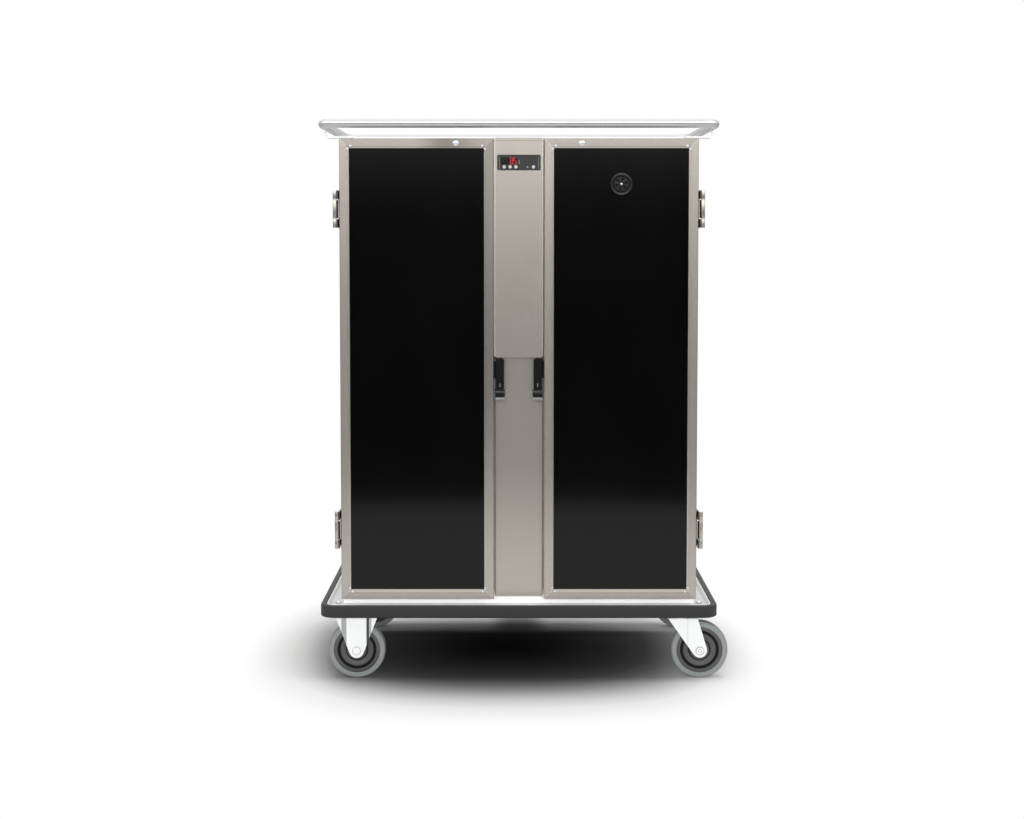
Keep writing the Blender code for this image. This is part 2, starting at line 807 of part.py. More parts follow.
def make_column(cart):
    """A proud upper cover and a recessed lower cover, both folded from sheet and open behind."""
    top = cabinet_top
    cut_in = column_corner_cut
    outline = [
        (-column_half, top),
        (-column_half, column_seam + cut_in),
        (-column_half + cut_in, column_seam),
        (column_half - cut_in, column_seam),
        (column_half, column_seam + cut_in),
        (column_half, top),
    ]
    upper = prism(outline, door_front, column_back, "Y")
    at_front = door_front + column_edge_radius / 2
    upper = rounded_edges(upper, column_edge_radius, 2, lambda place: place.y < at_front)
    groove_level = cabinet_top - column_bend_drop
    groove = box(
        (-column_half - cut_overrun, door_front - cut_overrun, groove_level - column_bend_groove / 2),
        (column_half + cut_overrun, door_front + column_bend_groove, groove_level + column_bend_groove / 2),
    )
    inside = box(
        (-column_half + column_sheet, door_front + column_sheet + column_edge_radius, column_seam + cut_in),
        (column_half - column_sheet, column_back + cut_overrun, top - column_edge_radius - column_sheet),
    )
    half_width = controller_body_width / 2 + seat_gap
    half_height = controller_body_height / 2 + seat_gap
    hole = box(
        (-half_width, door_front - cut_overrun, controller_level - half_height),
        (half_width, column_back + cut_overrun, controller_level + half_height),
    )
    upper = cut(upper, groove)
    upper = cut(upper, inside)
    finished("column_upper", cut(upper, hole), "champagne_metal", cart)

    high = column_seam - seat_gap
    lower = box((-column_half, column_lower_front, door_bottom), (column_half, column_back, high))
    lower = softened(lower, panel_edge_radius)
    inside = box(
        (-column_half + column_sheet, column_lower_front + column_sheet, door_bottom + column_sheet),
        (column_half - column_sheet, column_back + cut_overrun, high - column_sheet),
    )
    finished("column_lower", cut(lower, inside), "champagne_metal", cart)


def button_places():
    """The row of buttons: three near the display and one alone at the right."""
    level = controller_level - button_drop
    left = button_left - controller_width / 2
    right = controller_width / 2 - button_right
    names = ("button_set", "button_up", "button_down", "button_power")
    across = [left, left + button_pitch, left + 2 * button_pitch, right]
    return [(name, x, level) for name, x in zip(names, across)]


def make_controller(cart):
    face = door_front - controller_rise
    edge = controller_edge
    at = (0, controller_level)
    stations = ((0, door_front - seat_gap), (0, face + edge), (edge, face))
    housing = framed(
        stations, "Y", at, controller_width / 2, controller_height / 2, controller_corner_radius, closed=False
    )
    half_width = controller_body_width / 2
    half_height = controller_body_height / 2
    low = (-half_width, door_front - seat_gap - weld_overlap, controller_level - half_height)
    high = (half_width, door_front + controller_body_depth, controller_level + half_height)
    housing = joined(housing, box(low, high))

    window_x = -controller_width / 2 + controller_window_left + controller_window_width / 2
    window_z = controller_level + controller_window_up
    half_width = controller_window_width / 2
    half_height = controller_window_height / 2
    recess_floor = face + controller_window_thickness + seat_gap
    recess = box(
        (window_x - half_width - seat_gap, face - cut_overrun, window_z - half_height - seat_gap),
        (window_x + half_width + seat_gap, recess_floor, window_z + half_height + seat_gap),
    )
    sockets = []
    for name, x, level in button_places():
        reach = button_radius + running_gap
        stations = ((face - cut_overrun, reach), (face + button_socket_depth, reach))
        sockets.append(turned(stations, "Y", (x, level), small_steps))
    housing = cut(housing, recess)
    finished("controller_housing", cut(housing, gathered(sockets)), "black_plastic", cart)

    window = box(
        (window_x - half_width, face, window_z - half_height),
        (window_x + half_width, face + controller_window_thickness, window_z + half_height),
    )
    finished("controller_window", window, "window_glass", cart)

    back = face + button_socket_depth - button_travel - seat_gap
    for name, x, level in button_places():
        stations = [(back, button_radius)]
        for rise_share, radius_share in button_dome_shares:
            stations.append((face - button_rise * rise_share, button_radius * radius_share))
        carrier = add_empty(name + "_slide", cart, (x, face, level))
        finished(name, turned(stations, "Y", (x, level), small_steps), "silver_button", carrier)


def hinge_frame_leaf(side, level):
    """The door's half of a hinge: middle knuckle, curl and leaf, before its bore is cut."""
    low = level - hinge_knuckle_height / 2
    high = level + hinge_knuckle_height / 2
    stations = ((low, hinge_knuckle_radius), (high, hinge_knuckle_radius))
    knuckle = turned(stations, "Z", (side * hinge_pin_x, door_front), knuckle_steps)
    near, far = sorted((side * (side_outer - weld_overlap), side * (side_outer + hinge_leaf_thickness)))
    tangent = door_front + hinge_knuckle_radius
    leaf = box((near, tangent - hinge_leaf_thickness, low), (far, door_front + hinge_door_leaf_depth, high))
    near, far = sorted((side * (side_outer + hinge_leaf_thickness / 2), side * hinge_pin_x))
    curl = box((near, tangent - hinge_leaf_thickness, low), (far, tangent, high))
    return joined(knuckle, curl), leaf


def hinge_bore(side, level):
    stations = (
        (level - hinge_height / 2 - cut_overrun, hinge_pin_radius + running_gap),
        (level + hinge_height / 2 + cut_overrun, hinge_pin_radius + running_gap),
    )
    return turned(stations, "Z", (side * hinge_pin_x, door_front), knuckle_steps)


def make_fixed_leaf(side, word, place, level, cart):
    """The cabinet's half: two end knuckles with the pin, and a strap joggled on to the side panel."""
    pin = (side * hinge_pin_x, door_front)
    half = hinge_height / 2
    gap = hinge_knuckle_height / 2 + seat_gap
    washer = gap + hinge_washer_height
    stations = []
    for way in (-1, 1):
        ends = [
            (half, hinge_knuckle_radius),
            (washer, hinge_knuckle_radius),
            (washer, hinge_washer_radius),
            (gap, hinge_washer_radius),
            (gap, hinge_pin_radius),
        ]
        ends = [(level + way * along, radius) for along, radius in ends]
        stations += ends if way < 0 else ends[::-1]
    barrel = turned(stations, "Z", pin, knuckle_steps)

    sheet = hinge_leaf_thickness + weld_overlap
    joggle = door_back + hinge_joggle_length / 2
    rear = joggle + hinge_joggle_length
    end = door_front + hinge_strap_length
    stand = hinge_strap_standoff
    offsets = [
        (stand, door_front),
        (stand, joggle),
        (seat_gap, rear),
        (seat_gap, end),
        (seat_gap + hinge_leaf_thickness, end),
        (seat_gap + hinge_leaf_thickness, rear),
        (stand + sheet, joggle),
        (stand + sheet, door_front),
    ]
    outline = [(side * (side_outer + out), y) for out, y in offsets]
    strap = prism(outline, level - half, level + half, "Z")
    near, far = sorted((side * side_outer, side * (hinge_pin_x + cut_overrun)))
    window = box(
        (near, door_front - cut_overrun, level - washer),
        (far, joggle - hinge_cut_clearance, level + washer),
    )
    strap = cut(strap, window)
    finished("hinge_" + place + "_" + word, joined(barrel, strap), "champagne_metal", cart)


def make_door(side, word, cart):
    """A mitred frame round a laminate panel and an insulated core, with a gasket behind."""
    hinge = add_empty(word + "_door_hinge", cart, (side * hinge_pin_x, door_front, door_middle_z))
    at = (side * door_middle_x, door_middle_z)
    half_width = door_width / 2
    half_height = door_height / 2
    edge = frame_edge_radius
    stations = (
        (0, door_back),
        (0, door_front + edge),
        (edge, door_front),
        (frame_face, door_front),
        (frame_face, door_front + frame_step),
        (frame_member - frame_step / 2, skin_front - frame_step / 2),
        (frame_member, skin_front + frame_step / 2),
        (frame_member, door_back),
    )
    frame = framed(stations, "Y", at, half_width, half_height, 0)
    curls = []
    leaves = []
    for level in hinge_levels:
        curl, leaf = hinge_frame_leaf(side, level)
        curls.append(curl)
        leaves.append(leaf)
    frame = joined(frame, gathered(leaves))
    frame = joined(frame, gathered(curls))
    frame = cut(frame, gathered([hinge_bore(side, level) for level in hinge_levels]))
    finished(word + "_door_frame", frame, "champagne_metal", hinge)

    reach_x = half_width - frame_member - seat_gap
    reach_z = half_height - frame_member - seat_gap
    skin_back = skin_front + door_skin_thickness
    skin = box((at[0] - reach_x, skin_front, at[1] - reach_z), (at[0] + reach_x, skin_back, at[1] + reach_z))
    core_front = skin_back + seat_gap
    core = box((at[0] - reach_x, core_front, at[1] - reach_z), (at[0] + reach_x, door_back, at[1] + reach_z))
    core = rounded_edges(core, door_core_edge_radius, 1, lambda place: place.y > door_back - frame_step)
    if side > 0:
        skin = cut(skin, vent_hole())
        core = cut(core, vent_hole())
    finished(word + "_door_panel", skin, "black_laminate", hinge)
    finished(word + "_door_core", core, "liner_steel", hinge)

    face = door_back + seat_gap
    stations = []
    for width_share, height_share in gasket_profile_shares:
        stations.append((gasket_inset + gasket_width * width_share, face + gasket_thickness * height_share))
    gasket = framed(stations, "Y", at, half_width, half_height, 0)
    finished(word + "_door_gasket", gasket, "gasket_rubber", hinge)
    for place, level in zip(("upper", "lower"), hinge_levels):
        make_fixed_leaf(side, word, place, level, cart)
    make_latch(side, word, hinge, cart)
    return hinge


def vent_hole():
    """The round hole through the right door that the vent's sleeve passes."""
    reach = vent_sleeve_radius + seat_gap
    stations = ((door_front - cut_overrun, reach), (door_back + cut_overrun, reach))
    return turned(stations, "Y", (door_middle_x, vent_level), wheel_steps)


def wedge(inner, outer, start, end, low, high):
    """A ring sector drawn out along Y round the vent's middle."""
    at = (door_middle_x, vent_level)
    outline = arc(at, inner, start, end, slot_arc_steps) + arc(at, outer, end, start, slot_arc_steps)
    return prism(outline, low, high, "Y")


def vent_slots(offset, low, high):
    """Evenly spaced slots, each as wide as the web beside it."""
    pitch = math.tau / vent_slot_count
    slots = []
    for slot in range(vent_slot_count):
        start = offset + slot * pitch
        slots.append(wedge(vent_slot_inner, vent_slot_outer, start, start + pitch / 2, low, high))
    return gathered(slots)


def make_vent(hinge):
    """A ring with a slotted plate, and a slotted disc that turns in front of it."""
    at = (door_middle_x, vent_level)
    seat = skin_front - seat_gap
    face = skin_front - vent_rise
    dish = face + vent_dish_depth
    plate_front = dish + vent_disc_thickness + seat_gap
    plate_back = plate_front + vent_plate_thickness
    sleeve_inner = vent_sleeve_radius - vent_sleeve_wall
    stations = (
        (plate_front, vent_spindle_radius),
        (plate_front, vent_dish_radius),
        (dish, vent_dish_radius + vent_dish_flare),
        (dish, vent_rim_inner_radius),
        (face, (vent_rim_inner_radius + vent_radius) / 2),
        (seat, vent_radius),
        (seat, vent_sleeve_radius),
        (door_back, vent_sleeve_radius),
        (door_back, sleeve_inner),
        (plate_back, sleeve_inner),
    )
    pitch = math.tau / vent_slot_count
    ring = turned(((dish, vent_spindle_radius),) + stations, "Y", at, wheel_steps)
    ring = cut(ring, vent_slots(pitch / 2, plate_front - seat_gap, plate_back + cut_overrun))
    finished("vent_ring", ring, "black_plastic", hinge)

    spin = add_empty("vent_disc_spin", hinge, (at[0], door_front, at[1]))
    disc = turned(
        (
            (dish, vent_spindle_radius + running_gap),
            (dish, vent_disc_radius),
            (dish + vent_disc_thickness, vent_disc_radius),
            (dish + vent_disc_thickness, vent_spindle_radius + running_gap),
        ),
        "Y",
        at,
        wheel_steps,
        bored=True,
    )
    disc = cut(disc, vent_slots(0, dish - cut_overrun, dish + vent_disc_thickness + cut_overrun))
    finished("vent_disc", disc, "black_plastic", spin)


def latch_pivot():
    """The pivot's place across the lever: (y, z)."""
    return door_front - latch_lever_proud + latch_nose_radius, latch_top - latch_nose_radius


def make_latch(side, word, hinge, cart):
    """A channel lever on a bracket at the door's free edge, over a catch on the column."""
    pivot_y, pivot_z = latch_pivot()
    outer = side * (door_inner_edge - latch_lever_offset)
    inner = side * (door_inner_edge - latch_lever_offset - latch_lever_width)
    low_x, high_x = sorted((outer, inner))
    front = door_front - latch_lever_proud
    bottom = latch_top - latch_lever_length
    nose = arc((pivot_y, pivot_z), latch_nose_radius, math.pi, 0, small_steps // 2)
    outline = nose + [
        (front + 2 * latch_nose_radius, pivot_z - latch_nose_radius),
        (front + latch_cheek_depth, pivot_z - latch_nose_radius - latch_taper_drop),
        (front + latch_foot_depth, bottom),
        (front, bottom),
    ]
    lever = prism(outline, low_x, high_x, "X")
    wall = latch_lever_wall
    hollow = box(
        (low_x + wall, front + wall, bottom + wall),
        (high_x - wall, front + 2 * latch_nose_radius + cut_overrun, latch_top + cut_overrun),
    )
    slope = prism(
        (
            (outer, latch_top),
            (inner, latch_top - latch_top_slope),
            (inner - side * cut_overrun, latch_top - latch_top_slope),
            (inner - side * cut_overrun, latch_top + cut_overrun),
            (outer, latch_top + cut_overrun),
        ),
        front - cut_overrun,
        front + 2 * latch_nose_radius + cut_overrun,
        "Y",
    )
    bore_radius = latch_pivot_radius + running_gap
    stations = ((low_x - cut_overrun, bore_radius), (high_x + cut_overrun, bore_radius))
    bore = turned(stations, "X", (pivot_y, pivot_z), small_steps)
    lever = cut(lever, hollow)
    lever = cut(lever, slope)
    lever = cut(lever, bore)
    carrier = add_empty(word + "_latch_pivot", hinge, ((outer + inner) / 2, pivot_y, pivot_z))
    finished(word + "_latch_lever", lever, "black_plastic", carrier)

    plate_top = latch_top - latch_plate_top_drop
    plate_bottom_z = plate_top - latch_plate_height
    rear = door_front + column_recess - hinge_leaf_thickness
    edge_x = side * (door_inner_edge - seat_gap)
    plate_x = side * (door_inner_edge - seat_gap - latch_plate_thickness)
    near, far = sorted((edge_x, plate_x))
    plate = box((near, door_front + frame_step, plate_bottom_z), (far, rear, plate_top))
    body_inner = inner + side * (wall + latch_body_side_gap)
    body_outer = outer - side * (wall + latch_body_side_gap)
    body_front = front + 2 * latch_nose_radius + running_gap
    near, far = sorted((plate_x + side * weld_overlap, body_inner))
    body = box((near, body_front, plate_bottom_z), (far, rear, plate_top))
    low_x, high_x = sorted((body_outer, body_inner))
    ear = prism(
        (
            (pivot_y, pivot_z + latch_knuckle_radius),
            (pivot_y, pivot_z - latch_knuckle_radius),
            (body_front + latch_knuckle_radius, plate_bottom_z + latch_plate_height / 2),
            (body_front + latch_knuckle_radius, pivot_z + latch_knuckle_radius),
        ),
        low_x,
        high_x,
        "X",
    )
    stations = ((low_x, latch_knuckle_radius), (high_x, latch_knuckle_radius))
    knuckle = turned(stations, "X", (pivot_y, pivot_z), small_steps)
    pin_reach = wall + latch_body_side_gap
    stations = ((low_x - pin_reach, latch_pivot_radius), (high_x + pin_reach, latch_pivot_radius))
    pin = turned(stations, "X", (pivot_y, pivot_z), small_steps)
    bracket = joined(plate, body)
    for tool in (ear, knuckle, pin):
        bracket = joined(bracket, tool)
    finished(word + "_latch_bracket", bracket, "black_plastic", hinge)

    catch_edge = door_inner_edge - catch_offset
    low_x, high_x = sorted((side * catch_edge, side * (catch_edge - catch_width)))
    back = column_lower_front - seat_gap
    mouth = back - catch_base_thickness
    tip = back - catch_reach
    top = bottom - catch_drop
    upper = catch_upper_height / 2
    lower = catch_lower_height / 2
    foot = top - catch_upper_height - catch_mouth_height - catch_lower_height
    outline = [(back, foot), (back, top)]
    outline += arc((tip + upper, top - upper), upper, math.pi / 2, math.pi * 3 / 2, coarse_steps)
    outline += [(mouth, top - catch_upper_height), (mouth, foot + catch_lower_height)]
    outline += arc((tip + lower, foot + lower), lower, math.pi / 2, math.pi * 3 / 2, coarse_steps)
    finished(word + "_latch_catch", prism(outline, low_x, high_x, "X"), "catch_metal", cart)


def make_rail(cart):
    """One tube bent to a hoop round the roof, on four bent flat bars."""
    stations = circle((rail_tube_radius, rail_level), rail_tube_radius, tube_steps)
    hoop = framed(stations, "Z", (0, 0), rail_outer_x, rail_outer_y, rail_corner_radius + rail_tube_radius)
    finished("push_rail", hoop, "chrome_tube", cart)

    tube_x = rail_outer_x - rail_tube_radius
    top = rail_level - rail_tube_radius - seat_gap
    foot = cabinet_top + seat_gap
    half = bracket_thickness / 2
    bend = bracket_bend_radius
    for side, word in ((-1, "left"), (1, "right")):
        for end, place in ((-1, "front"), (1, "rear")):
            at = (tube_x - half - bend, foot + half * 2 + bend)
            inner_bend = arc(at, bend, 0, -math.pi / 2, bend_steps)
            outer_bend = arc(at, bend + 2 * half, -math.pi / 2, 0, bend_steps)
            outline = [(tube_x - half, top)] + inner_bend
            outline += [(tube_x - bracket_foot_length, foot + 2 * half), (tube_x - bracket_foot_length, foot)]
            outline += outer_bend + [(tube_x + half, top)]
            outline = [(side * u, v) for u, v in outline]
            middle = end * (rail_outer_y - bracket_end_distance)
            bracket = prism(outline, middle - bracket_width / 2, middle + bracket_width / 2, "Y")
            finished("rail_bracket_" + place + "_" + word, bracket, "zinc_steel", cart)


def make_rack(side, word, cart):
    """Two side sheets with pressed ledges, tied across behind, so that pans slide in from the door."""
    outer_wall = side_inner - seat_gap
    inner_wall = partition_outer + seat_gap
    low = floor_top + seat_gap
    high = ceiling - rack_top_gap
    pitch = (high - low - rack_first_level - rack_top_margin) / (rack_level_count - 1)
    front = cabinet_front + rack_front_gap
    back = inner_back - rack_back_gap
    sheets = []
    for wall, way in ((outer_wall, -1), (inner_wall, 1)):
        near_face = [(rack_sheet, low)]
        wall_face = [(0, low)]
        for level in range(rack_level_count):
            z = low + rack_first_level + level * pitch
            near_face += [(rack_sheet, z - rack_ledge_drop), (rack_ledge_reach, z), (rack_sheet, z)]
            tip = rack_ledge_reach - 2 * rack_sheet
            wall_face += [(0, z - rack_ledge_drop), (tip, z - rack_sheet), (0, z - rack_sheet)]
        near_face.append((rack_sheet, high))
        wall_face.append((0, high))
        outline = near_face + wall_face[::-1]
        sheets.append(prism([(side * (wall + way * out), z) for out, z in outline], front, back, "Y"))
    ties = []
    near, far = sorted((side * inner_wall, side * outer_wall))
    tie_front = back - weld_overlap
    tie_back = back + rack_tie_thickness
    for z in (low + rack_tie_rise, high - rack_tie_height):
        ties.append(box((near, tie_front, z), (far, tie_back, z + rack_tie_height)))
    rack = joined(gathered(sheets), gathered(ties))
    finished("pan_rack_" + word, rack, "rack_steel", cart)


def blade(axis_y, level, turn):
    """One fan blade, a plate that flattens from root to tip."""
    rings = []
    spin = Matrix.Translation((0, axis_y, level)) @ Matrix.Rotation(turn, 4, "Z")
    half = impeller_blade_thickness / 2
    reach = impeller_chord / 2
    tip = fan_hole_radius - impeller_tip_gap
    for radius, tilt in ((impeller_root_radius, blade_root_tilt), (tip, blade_tip_tilt)):
        ring = []
        for along, up in ((-reach, -half), (reach, -half), (reach, half), (-reach, half)):
            y = along * math.cos(tilt) - up * math.sin(tilt)
            z = along * math.sin(tilt) + up * math.cos(tilt)
            ring.append(spin @ Vector((radius, y, z)))
        rings.append(ring)
    return add_piece(rings)


def make_heater(cart):
    """The fan motor and ring heater on a plate across the duct, with the fan above it."""
    level = ceiling - heater_drop
    middle_y = (cabinet_front + inner_back) / 2
    at = (0, middle_y)
    plate_top = level + heater_plate_thickness
    half_x = duct_width / 2 - seat_gap
    half_y = heater_plate_length / 2
    plate = box((-half_x, middle_y - half_y, level), (half_x, middle_y + half_y, plate_top))
    stations = ((level - cut_overrun, fan_hole_radius), (plate_top + cut_overrun, fan_hole_radius))
    hole = turned(stations, "Z", at, wheel_steps)
    plate = cut(plate, hole)
    arm_reach = fan_hole_radius + fan_arm_width
    arm_front = middle_y - fan_arm_width / 2
    arm = box((-arm_reach, arm_front, level), (arm_reach, arm_front + fan_arm_width, plate_top))
    motor = turned(
        (
            (level - motor_height, motor_radius - motor_edge),
            (level - motor_height + motor_edge, motor_radius),
            (plate_top, motor_radius),
            (plate_top, motor_shaft_radius),
            (plate_top + motor_shaft_height, motor_shaft_radius),
        ),
        "Z",
        at,
        small_steps,
    )
    stations = []
    ring_level = level - heater_ring_drop
    ring_radius = fan_hole_radius - heater_ring_inset
    for along, out in circle((ring_level, ring_radius), heater_tube_radius, coarse_steps):
        stations.append((along, out))
    ring = turned(stations, "Z", at, knuckle_steps, bored=True)
    posts = []
    for way in (-1, 1):
        post_at = (way * ring_radius, middle_y)
        stations = ((ring_level, heater_post_radius), (level + weld_overlap, heater_post_radius))
        posts.append(turned(stations, "Z", post_at, coarse_steps))
    heater = joined(plate, arm)
    heater = joined(heater, motor)
    ring = joined(ring, gathered(posts))
    finished("heater_unit", joined(heater, ring), "zinc_steel", cart)

    hub_low = plate_top + impeller_lift
    spin = add_empty("fan_spin", cart, (0, middle_y, hub_low))
    hub = turned(
        (
            (hub_low, motor_shaft_radius + running_gap),
            (hub_low, impeller_hub_radius),
            (hub_low + impeller_hub_height, impeller_hub_radius),
            (hub_low + impeller_hub_height, motor_shaft_radius + running_gap),
        ),
        "Z",
        at,
        small_steps,
        bored=True,
    )
    blades = []
    for count in range(impeller_blade_count):
        turn = math.tau * count / impeller_blade_count
        blades.append(blade(middle_y, hub_low + impeller_hub_height / 2, turn))
    finished("fan_impeller", joined(hub, gathered(blades)), "black_plastic", spin)


def main():
    for old in list(bpy.data.objects):
        bpy.data.objects.remove(old)
    add_materials()
    cart = add_empty("cart", None, (0, 0, 0))
    make_deck(cart)
    for end, place in ((-1, "front"), (1, "rear")):
        make_fixed_caster(place, end * caster_y, cart)
        make_swivel_caster(place, end * caster_y, cart)
    make_cabinet(cart)
    make_column(cart)
    make_controller(cart)
    make_heater(cart)
    for side, word in ((-1, "left"), (1, "right")):
        hinge = make_door(side, word, cart)
        make_rack(side, word, cart)
        if side > 0:
            make_vent(hinge)
    make_rail(cart)


main()
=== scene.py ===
"""Insulated two-door food cart, dressed round its CAD frame. Metres, doors towards -Y, +Z up."""

import json
import math
from functools import partialmethod

import bpy
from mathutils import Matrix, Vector

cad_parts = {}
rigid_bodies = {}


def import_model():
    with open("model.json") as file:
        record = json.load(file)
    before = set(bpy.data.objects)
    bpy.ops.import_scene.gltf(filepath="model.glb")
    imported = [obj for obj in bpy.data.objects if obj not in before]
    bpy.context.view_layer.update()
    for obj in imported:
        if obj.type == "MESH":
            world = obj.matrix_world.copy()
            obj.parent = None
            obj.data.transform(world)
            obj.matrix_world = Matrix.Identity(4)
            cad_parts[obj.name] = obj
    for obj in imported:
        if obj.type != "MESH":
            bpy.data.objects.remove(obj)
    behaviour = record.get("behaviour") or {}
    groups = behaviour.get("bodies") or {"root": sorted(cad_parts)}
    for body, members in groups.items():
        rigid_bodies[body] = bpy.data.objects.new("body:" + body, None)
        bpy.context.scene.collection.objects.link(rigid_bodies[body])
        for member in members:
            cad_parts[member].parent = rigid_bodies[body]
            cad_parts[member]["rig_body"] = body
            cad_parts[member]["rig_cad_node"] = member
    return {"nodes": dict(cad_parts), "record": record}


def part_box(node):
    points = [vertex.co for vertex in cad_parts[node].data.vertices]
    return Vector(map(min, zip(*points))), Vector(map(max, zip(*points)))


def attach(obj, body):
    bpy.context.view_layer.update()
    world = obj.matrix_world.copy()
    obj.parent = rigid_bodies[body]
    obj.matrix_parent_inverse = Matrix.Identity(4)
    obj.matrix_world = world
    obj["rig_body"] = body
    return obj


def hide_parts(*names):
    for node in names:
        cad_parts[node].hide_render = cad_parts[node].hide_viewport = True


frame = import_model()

bl_info = {
    "name": "Insulated food cart",
    "version": (1, 0, 0),
    "blender": (4, 5, 0),
    "location": "3D View > Sidebar > Food cart",
    "description": "Models and finishes an insulated two-door food cart on its CAD frame",
    "category": "Object",
}

AXES = {"X": Vector((1, 0, 0)), "Y": Vector((0, 1, 0)), "Z": Vector((0, 0, 1))}
SIDES = ((-1, "left"), (1, "right"))
ENDS = ("front", "rear")


def corners(node):
    """The lowest and highest corner of a CAD node."""
    low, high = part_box(node)
    return Vector(low), Vector(high)


def middle(node):
    """The middle of a CAD node's box."""
    low, high = corners(node)
    return (low + high) / 2


CENTRE_X = (middle("left_door_panel").x + middle("right_door_panel").x) / 2
COLUMN_LOW, COLUMN_HIGH = corners("column_upper")
FACE_Y = COLUMN_LOW.y
SKIN_Y = corners("left_door_panel")[0].y
PANEL_LOW, PANEL_HIGH = corners("right_door_panel")
FRAME_MEMBER = 0.0275  # a door frame's face, from its outer to its inner edge
DOOR_HALF = (PANEL_HIGH - PANEL_LOW) / 2 + Vector((FRAME_MEMBER, 0, FRAME_MEMBER))
DOOR_X = middle("right_door_panel").x - CENTRE_X
DOOR_Z = middle("right_door_panel").z
SIDE_X = corners("roof_panel")[1].x - CENTRE_X
ROOF_Z = corners("roof_panel")[1].z
DECK_Z = corners("floor_panel")[0].z
SKIN = 0.038  # how far in from outside the cabinet's panels show their outer finish
SEAT_GAP = 0.0003  # the CAD's gap between seated pieces; heads are sunk as deep

# The fold near the upper cover's top, the slots beside the hinges' barrels and the swivel
# forks' fold. The last two are counted out from the cart's middle.
COLUMN_BEND = COLUMN_HIGH.z - 0.0087
HINGE_SLOT = (0.5006, 0.5046)
FORK_FOLD = 0.4735
FORK_X = middle("fixed_caster_front_tyre").x


# Radii about the hinges' pins, then of the vent's rounded rim, its disc and its slots.
HINGE_BORE, HINGE_BARREL, HINGE_WASHER = 0.0040, 0.0054, 0.0058
VENT_RIM, VENT_DISC = 0.0275, 0.0204
SLOT_INNER, SLOT_OUTER = 0.0065, 0.0175

# Along a hinge's pin from its middle: the knuckle's end, the washer, the barrel's start.
KNUCKLE_END, WASHER_FROM, WASHER_TO, BARREL_FROM = 0.0249, 0.0253, 0.0275, 0.0278

# A frame corner's two screws, outwards and upwards from the member's inner edge. Caster bolts,
# out from the cart's middle line and towards the front or the rear.
CORNER_SPOTS = ((-0.0044, 0.0068), (0.0036, -0.0026))
BOLT_SPOTS = ((0.5115, 0.285), (0.4025, 0.3668))
BUFFER_LEVELS = (0.8100, 0.8037)  # heights of the left and the right buffer on the column


def length(name, description, default):
    """A length property."""
    return bpy.props.FloatProperty(
        name=name, description=description, default=default, min=0, unit="LENGTH", precision=5
    )


def colour(name, description, default):
    """A colour property."""
    return bpy.props.FloatVectorProperty(
        name=name, description=description, default=default, min=0, max=1, size=3, subtype="COLOR"
    )


class CartSizes(bpy.types.PropertyGroup):
    """Sizes of the details that the CAD frame leaves open."""

    sheet_edge: length("Sheet edge", "Rounding of folded sheet and panel edges", 0.0012)
    cast_edge: length("Pressed edge", "Rounding of pressed forks, plates and straps", 0.0006)
    moulded_edge: length("Moulded edge", "Rounding of moulded plastic edges", 0.0005)
    rail_radius: length("Rail radius", "Radius of the push rail's tube", 0.0125)
    rail_corner: length("Rail corner", "Outer radius of the push rail's bends", 0.0625)
    bumper_corner: length("Bumper corner", "Outer radius of the bumper's corners", 0.045)
    corner_screw: length("Corner screw", "Radius of the frame's small corner screws", 0.0029)
    top_screw: length("Top screw", "Radius of the round cap on each door's top member", 0.0083)
    deck_bolt: length("Deck bolt", "Radius of the caster bolts' domed heads", 0.0058)
    digit_height: length("Digit height", "Height of the figures in the display", 0.0165)
    digit_width: length("Digit width", "Width of the figures in the display", 0.0068)
    digit_stroke: length("Digit stroke", "Width of one bar of a figure", 0.0013)


class CartColours(bpy.types.PropertyGroup):
    """Colours of the cart's finishes."""

    champagne: colour("Champagne metal", "Satin sheet and door frames", (0.61, 0.565, 0.505))
    laminate: colour("Laminate", "Gloss front panels", (0.0015, 0.0015, 0.0016))
    chrome: colour("Chrome", "Push rail", (0.64, 0.64, 0.64))
    zinc: colour("Zinc", "Casters and brackets", (0.885, 0.895, 0.895))
    pale: colour("Pale sheet", "Deck and cabinet floor", (0.97, 0.975, 0.975))
    bumper: colour("Bumper", "Bumper profile", (0.0125, 0.0125, 0.013))
    tyre: colour("Tyre", "Wheel treads", (0.225, 0.243, 0.243))
    hub: colour("Hub", "Wheel hubs", (0.066, 0.066, 0.068))
    black: colour("Black plastic", "Latches and vent", (0.0035, 0.0035, 0.0037))
    controller: colour("Controller", "Controller housing", (0.017, 0.017, 0.0175))
    steel: colour("Liner steel", "Inside of the cabinet", (0.62, 0.63, 0.64))
    seal: colour("Seal", "Door gaskets", (0.030, 0.030, 0.031))
    glow: colour("Figures", "Lit figures of the display", (0.72, 0.030, 0.042))
    screw: colour("Screws", "Nickelled screw heads and rivets", (0.74, 0.76, 0.80))
    button: colour("Buttons", "Controller buttons", (0.60, 0.60, 0.54))
    pane: colour("Display pane", "Smoked window of the display", (0.009, 0.008, 0.008))
    mark: colour("Marks", "Printed dots and small rivets", (0.36, 0.35, 0.34))
    buffer: colour("Buffers", "Soft buffers on the column", (0.36, 0.33, 0.285))
    # The catch's three colours are painted light and shade: the dark upper jaw is painted shade, the
    # silver lower jaw painted light, the black mouth painted shadow.
    catch: colour("Catch", "Coated upper jaw of the catches", (0.026, 0.026, 0.026))
    jaw: colour("Catch jaw", "Bare lower jaw of the catches", (0.21, 0.215, 0.22))
    mouth: colour("Catch mouth", "Dark between a catch's jaws", (0.004, 0.004, 0.004))
    floor: colour("Floor", "Studio floor", (0.86, 0.86, 0.86))


# ---- shaping ----


def put_down():
    """Leave edit mode and select nothing."""
    if bpy.context.object and bpy.context.object.mode != "OBJECT":
        bpy.ops.object.mode_set(mode="OBJECT")
    bpy.ops.object.select_all(action="DESELECT")


def take(*pieces):
    """Select these pieces, the first of them active."""
    put_down()
    for piece in pieces:
        piece.select_set(True)
    bpy.context.view_layer.objects.active = pieces[0]
    return pieces[0]


